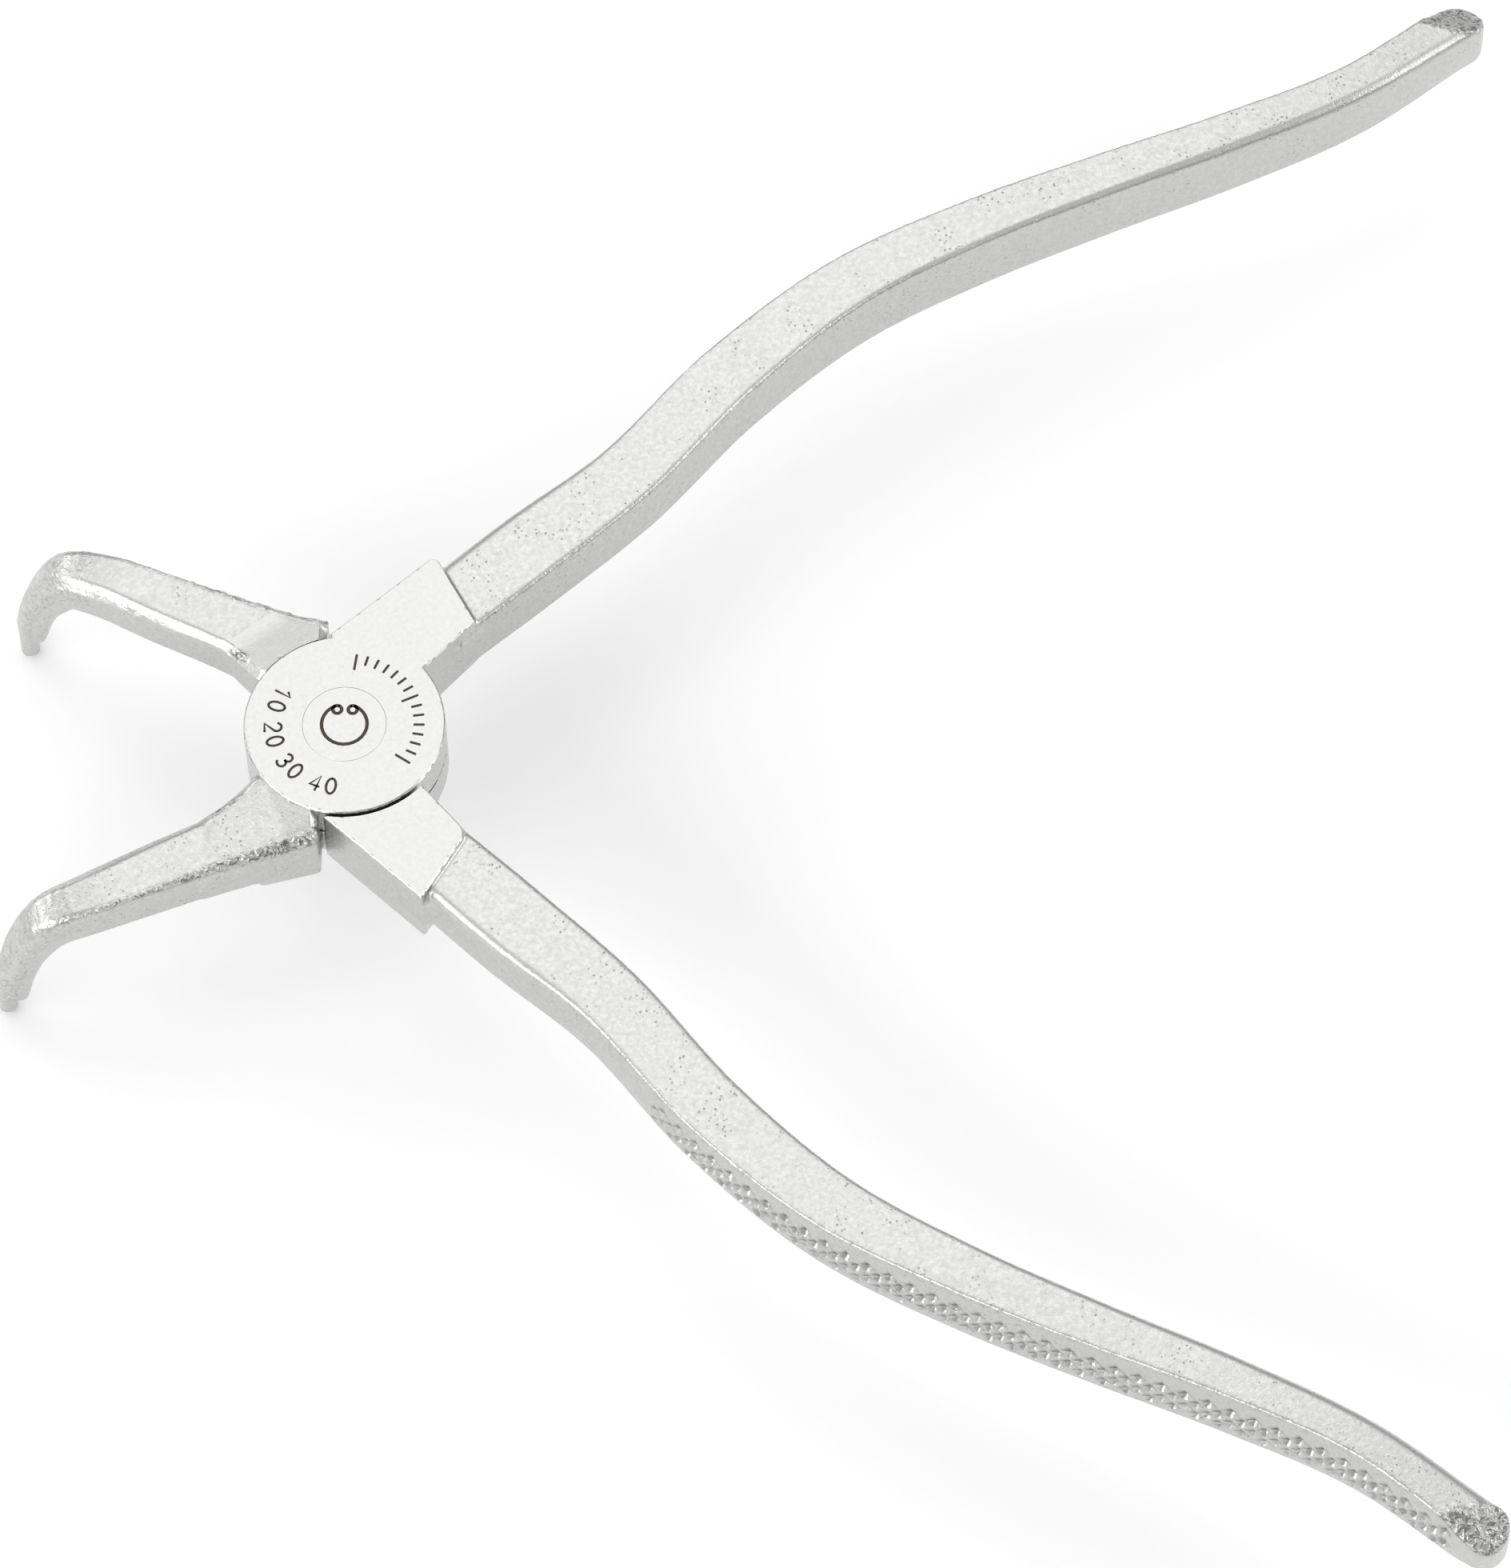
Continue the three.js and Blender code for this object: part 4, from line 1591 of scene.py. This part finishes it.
@dataclass
class Rivet:
    """The flush rivet: a solid of revolution with countersunk heads."""

    head: Head
    turns: int = 160
    rim: float = 0.015

    def profile(self) -> list[tuple[float, float]]:
        """Draws the rivet's outline, from the top face down.

        Returns:
            Radii and heights.
        """
        head = self.head
        cone = head.rivet_land + head.rivet_radius - head.shank_radius
        top = [(head.rivet_radius - self.rim, 0.0), (head.rivet_radius, -self.rim),
               (head.rivet_radius, -head.rivet_land), (head.shank_radius, -cone)]
        return top + [(radius, -head.thickness - height) for radius, height in reversed(top)]

    def build(self) -> bpy.types.Object:
        """Builds the rivet.

        Returns:
            The rivet, in the frame.
        """
        rings = [(0.4 * share * self.head.rivet_radius, 0.0) for share in (0.5, 1.5)]
        low = [(radius, -self.head.thickness) for radius, _ in reversed(rings)]
        outline = rings + self.profile() + low
        angles = np.linspace(0, 2 * math.pi, self.turns, endpoint=False)
        vertices = [(r * math.cos(a), r * math.sin(a), z) for r, z in outline for a in angles]
        count = self.turns
        faces = [(i * count + j, (i + 1) * count + j, (i + 1) * count + (j + 1) % count,
                  i * count + (j + 1) % count) for i in range(len(outline) - 1) for j in range(count)]
        last = (len(outline) - 1) * count
        faces.append(tuple(range(count)))
        faces.append(tuple(reversed(range(last, last + count))))
        mesh = bpy.data.meshes.new("flush_rivet")
        mesh.from_pydata([tuple(np.array(v) * MM) for v in vertices], [], faces)
        mesh.shade_smooth()
        mesh.set_sharp_from_angle(angle=math.radians(30))
        return placed("flush_rivet", mesh)

    def dress(self, made: bpy.types.Object, ground: bpy.types.Material) -> None:
        """Gives the rivet its finish and puts it on its body.

        Args:
            made: the rivet's object.
            ground: the finish of the ground faces.
        """
        made.data.materials.append(ground)
        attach(made, "upper_arm")
        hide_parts("joint_rivet")


@dataclass
class Marks:
    """Plain marks burnt into the head: an open ring with two eyes, a scale and its numbers.

    Attributes:
        stroke: width of the scale's lines.
        bold: width of the ring's lines.
        height: height of the digits.
        tick_lengths: length of the long ticks and of the others.
        long_every: how many ticks lie from one long tick to the next.
        sunk: how deep the marks reach into the steel.
        proud: how high they stand on it.
    """

    stroke: float = 0.25
    bold: float = 0.34
    height: float = 1.6
    digit_radius: float = 6.7
    digit_start_deg: float = 151.0
    digit_step_deg: float = 13.0
    group_gap_deg: float = 6.5
    tick_radius: float = 7.5
    tick_start_deg: float = -33.0
    tick_step_deg: float = 8.3
    ticks: int = 15
    long_every: int = 7
    tick_lengths: tuple[float, float] = (1.6, 0.95)
    eye_radius: float = 0.42
    ring_radius: float = 2.15
    sunk: float = 0.02
    proud: float = 0.008
    numbers: tuple[str, ...] = ("10", "20", "30", "40")

    @staticmethod
    def arc(centre: tuple[float, float], radius: tuple[float, float], start: float, end: float
            ) -> list[tuple[float, float]]:
        """Returns points along an arc of an ellipse, angles in degrees."""
        steps = np.radians(np.linspace(start, end, max(6, int(abs(end - start) / 12))))
        return [(centre[0] + radius[0] * math.cos(a), centre[1] + radius[1] * math.sin(a)) for a in steps]

    def glyph(self, digit: str) -> list[list[tuple[float, float]]]:
        """Draws a digit in a box 0.6 wide and 1 high.

        Args:
            digit: the digit.

        Returns:
            Its strokes.
        """
        return {
            "0": [self.arc((0.3, 0.5), (0.28, 0.5), 90, 450)],
            "1": [[(0.1, 0.72), (0.36, 1.0), (0.36, 0.0)]],
            "2": [self.arc((0.3, 0.72), (0.27, 0.28), 165, -30) + [(0.03, 0.0), (0.58, 0.0)]],
            "3": [self.arc((0.28, 0.75), (0.25, 0.25), 150, -90),
                  self.arc((0.28, 0.26), (0.28, 0.26), 90, -150)],
            "4": [[(0.46, 0.0), (0.46, 1.0), (0.02, 0.3), (0.6, 0.3)]],
        }[digit]

    def scale(self) -> list[list[tuple[float, float]]]:
        """Draws the numbers and the graduation, seen from above.

        Returns:
            The centre lines of their strokes.
        """
        lines: list[list[tuple[float, float]]] = []
        turn = self.digit_start_deg
        for number in self.numbers:
            for digit in number:
                out, along = heading(turn), heading(turn + 90)
                for line in self.glyph(digit):
                    lines.append([tuple(self.digit_radius * out + self.height
                                        * ((x - 0.3) * along - (y - 0.5) * out)) for x, y in line])
                turn += self.digit_step_deg
            turn += self.group_gap_deg
        for i in range(self.ticks):
            out = heading(self.tick_start_deg + i * self.tick_step_deg)
            long = self.tick_lengths[i % self.long_every > 0]
            lines.append([tuple(out * (self.tick_radius - long)), tuple(out * self.tick_radius)])
        return lines

    def ring(self) -> list[list[tuple[float, float]]]:
        """Draws the open ring and its two eyes.

        Returns:
            The centre lines of their strokes.
        """
        ring = self.arc((0, 0), (self.ring_radius, self.ring_radius), 115, 425)
        lines = [ring]
        for end, lean in ((ring[0], -1), (ring[-1], 1)):
            eye = (end[0] * 0.8, end[1] * 0.8)
            lines.append(self.arc(eye, (self.eye_radius, self.eye_radius), 90 + lean * 20, 450 + lean * 20))
        return lines

    def ribbon(self, line: list[tuple[float, float]], width: float) -> tuple[Array, Array]:
        """Widens a centre line into a thin flat bar.

        Args:
            line: the centre line.
            width: the bar's width.

        Returns:
            The bar's vertices and faces.
        """
        points = np.array(line)
        gaps = np.linalg.norm(np.diff(points, axis=0), axis=1)
        ahead = np.diff(points, axis=0) / gaps[:, None]
        reach = width * 0.45 * 0.5
        points = np.vstack([points[0] - ahead[0] * reach, points, points[-1] + ahead[-1] * reach])
        ahead = np.vstack([ahead[0], ahead, ahead[-1]])
        turn = np.vstack([ahead[0], (ahead[:-1] + ahead[1:]) / 2, ahead[-1]])
        side = np.stack([-turn[:, 1], turn[:, 0]], 1) / np.maximum((turn**2).sum(1, keepdims=True), 0.35)
        half = np.full(len(points), width / 2)
        half[0] = half[-1] = width * 0.36
        left, right = points + side * half[:, None], points - side * half[:, None]
        count = len(points)
        vertices = np.vstack([np.column_stack([part, np.full(count, z)])
                              for z in (self.proud, -self.sunk) for part in (left, right)])
        a, b, c, d = (np.arange(count) + i * count for i in range(4))
        faces = [[p[i], p[i + 1], q[i + 1], q[i]]
                 for p, q in ((b, a), (c, d), (a, c), (d, b)) for i in range(count - 1)]
        faces += [[a[0], c[0], d[0], b[0]], [b[-1], d[-1], c[-1], a[-1]]]
        return vertices, np.array(faces)

    def build(self) -> bpy.types.Object:
        """Builds all the marks as one piece.

        Returns:
            The marks, in the frame.
        """
        vertices, faces, count = [], [], 0
        for lines, width in ((self.scale(), self.stroke), (self.ring(), self.bold)):
            for line in lines:
                part, quads = self.ribbon(line, width)
                vertices.append(part)
                faces.append(quads + count)
                count += len(part)
        return quad_object("head_marks", np.vstack(vertices), np.vstack(faces), 30)

    def dress(self, made: bpy.types.Object, burnt: bpy.types.Material) -> None:
        """Gives the marks their finish and puts them on the upper arm."""
        made.data.materials.append(burnt)
        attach(made, "upper_arm")


# ---- studio ----


@dataclass
class Studio:
    """The pale floor, the soft lamps and the camera."""

    camera_place: tuple[float, float, float] = (61.439, -445.651, 815.237)
    camera_turn_deg: tuple[float, float, float] = (28.356, 0.9711, 1.1552)
    lens: float = 227.468
    sensor: float = 36.0
    clip: tuple[float, float] = (0.05, 20.0)
    floor_size: float = 3.0
    floor_gap: float = 0.0004
    horizon: float = 0.2
    zenith: float = 0.68
    lamps: tuple[tuple[str, tuple[float, float, float], tuple[float, float], float], ...] = (
        ("overhead_softbox", (-0.04, 0.45, 0.84), (0.8, 0.7), 1.7),
        ("side_softbox", (-0.66, -0.56, 0.5), (1.3, 0.6), 6.0),
        ("right_softbox", (0.95, 0.1, 0.5), (0.9, 0.5), 3.4),
        ("left_softbox", (-0.85, 0.5, 0.45), (0.8, 0.5), 2.6),
    )

    def light(self) -> None:
        """Makes the even sky and the soft lamps, which all aim at the head."""
        scene = bpy.context.scene
        scene.view_settings.view_transform = "Standard"
        world = bpy.data.worlds.new("Studio sky")
        world.use_nodes = True
        nodes, sky = Nodes(world.node_tree), world.node_tree.nodes["Background"]
        sky.inputs["Color"].default_value = (1, 1, 1, 1)
        up = nodes.add("SeparateXYZ", Vector=nodes.add("TexCoord").outputs["Generated"]).outputs["Z"]
        nodes.feed(sky.inputs["Strength"], nodes.remap(up, 0.05, 0.5, self.horizon, self.zenith))
        scene.world = world
        for name, place, size, power in self.lamps:
            lamp = bpy.data.lights.new(name, "AREA")
            lamp.shape = "RECTANGLE"
            lamp.size, lamp.size_y = size
            lamp.energy = power
            made = placed(name, lamp)
            made.location = place
            toward = -np.array(place)
            level = math.hypot(toward[0], toward[1])
            made.rotation_euler = (math.atan2(level, -toward[2]), 0.0,
                                   math.atan2(toward[1], toward[0]) - math.pi / 2)

    def floor(self) -> None:
        """Lays the pale floor under the lowest point."""
        low = CAD_BOX[0][2] - self.floor_gap
        half = self.floor_size / 2
        mesh = bpy.data.meshes.new("floor")
        mesh.from_pydata([(-half, -half, low), (half, -half, low), (half, half, low), (-half, half, low)],
                         [], [(0, 1, 2, 3)])
        material = bpy.data.materials.new("Pale floor")
        material.use_nodes = True
        nodes = Nodes(material.node_tree)
        surface = material.node_tree.nodes["Principled BSDF"]
        surface.inputs["Roughness"].default_value = 0.9
        surface.inputs["Specular IOR Level"].default_value = 0.2
        cloud = nodes.add("TexNoise", Vector=nodes.add("TexCoord").outputs["Object"], Scale=3.0)
        nodes.feed(surface.inputs["Base Color"],
                   nodes.tint(cloud.outputs["Fac"], (0.93, 0.93, 0.93, 1), (0.95, 0.95, 0.95, 1)))
        mesh.materials.append(material)
        made = placed("floor", mesh)

    def camera(self) -> None:
        """Sets up the camera, high above the head."""
        lens = bpy.data.cameras.new("view")
        lens.lens, lens.sensor_width, lens.sensor_fit = self.lens, self.sensor, "AUTO"
        lens.clip_start, lens.clip_end = self.clip
        made = placed("view", lens)
        made.location = [value * MM for value in self.camera_place]
        made.rotation_euler = [math.radians(angle) for angle in self.camera_turn_deg]
        bpy.context.scene.camera = made


def main() -> None:
    """Builds the pliers around the frame and reports each piece."""
    logging.basicConfig(level=logging.INFO, format="%(name)s: %(message)s")
    studio = Studio()
    studio.camera()
    studio.light()
    studio.floor()
    groups = Groups(grain_group(), scratch_group(), wear_group())
    forged, ground, burnt = (finish.material(groups) for finish in (FORGED, GROUND, BURNT))
    low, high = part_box("joint_rivet")
    head = Head(thickness=(high[2] - low[2]) / MM, rivet_radius=(high[0] - low[0]) / 2 / MM)
    for side in Side:
        arm = Arm(side, head)
        made = arm.build()
        arm.dress(made, forged, ground)
        log.info("%s: %d faces", made.name, len(made.data.polygons))
    for part, finish in ((Rivet(head), ground), (Marks(), burnt)):
        made = part.build()
        part.dress(made, finish)
        log.info("%s: %d faces", made.name, len(made.data.polygons))


if __name__ == "__main__":
    main()
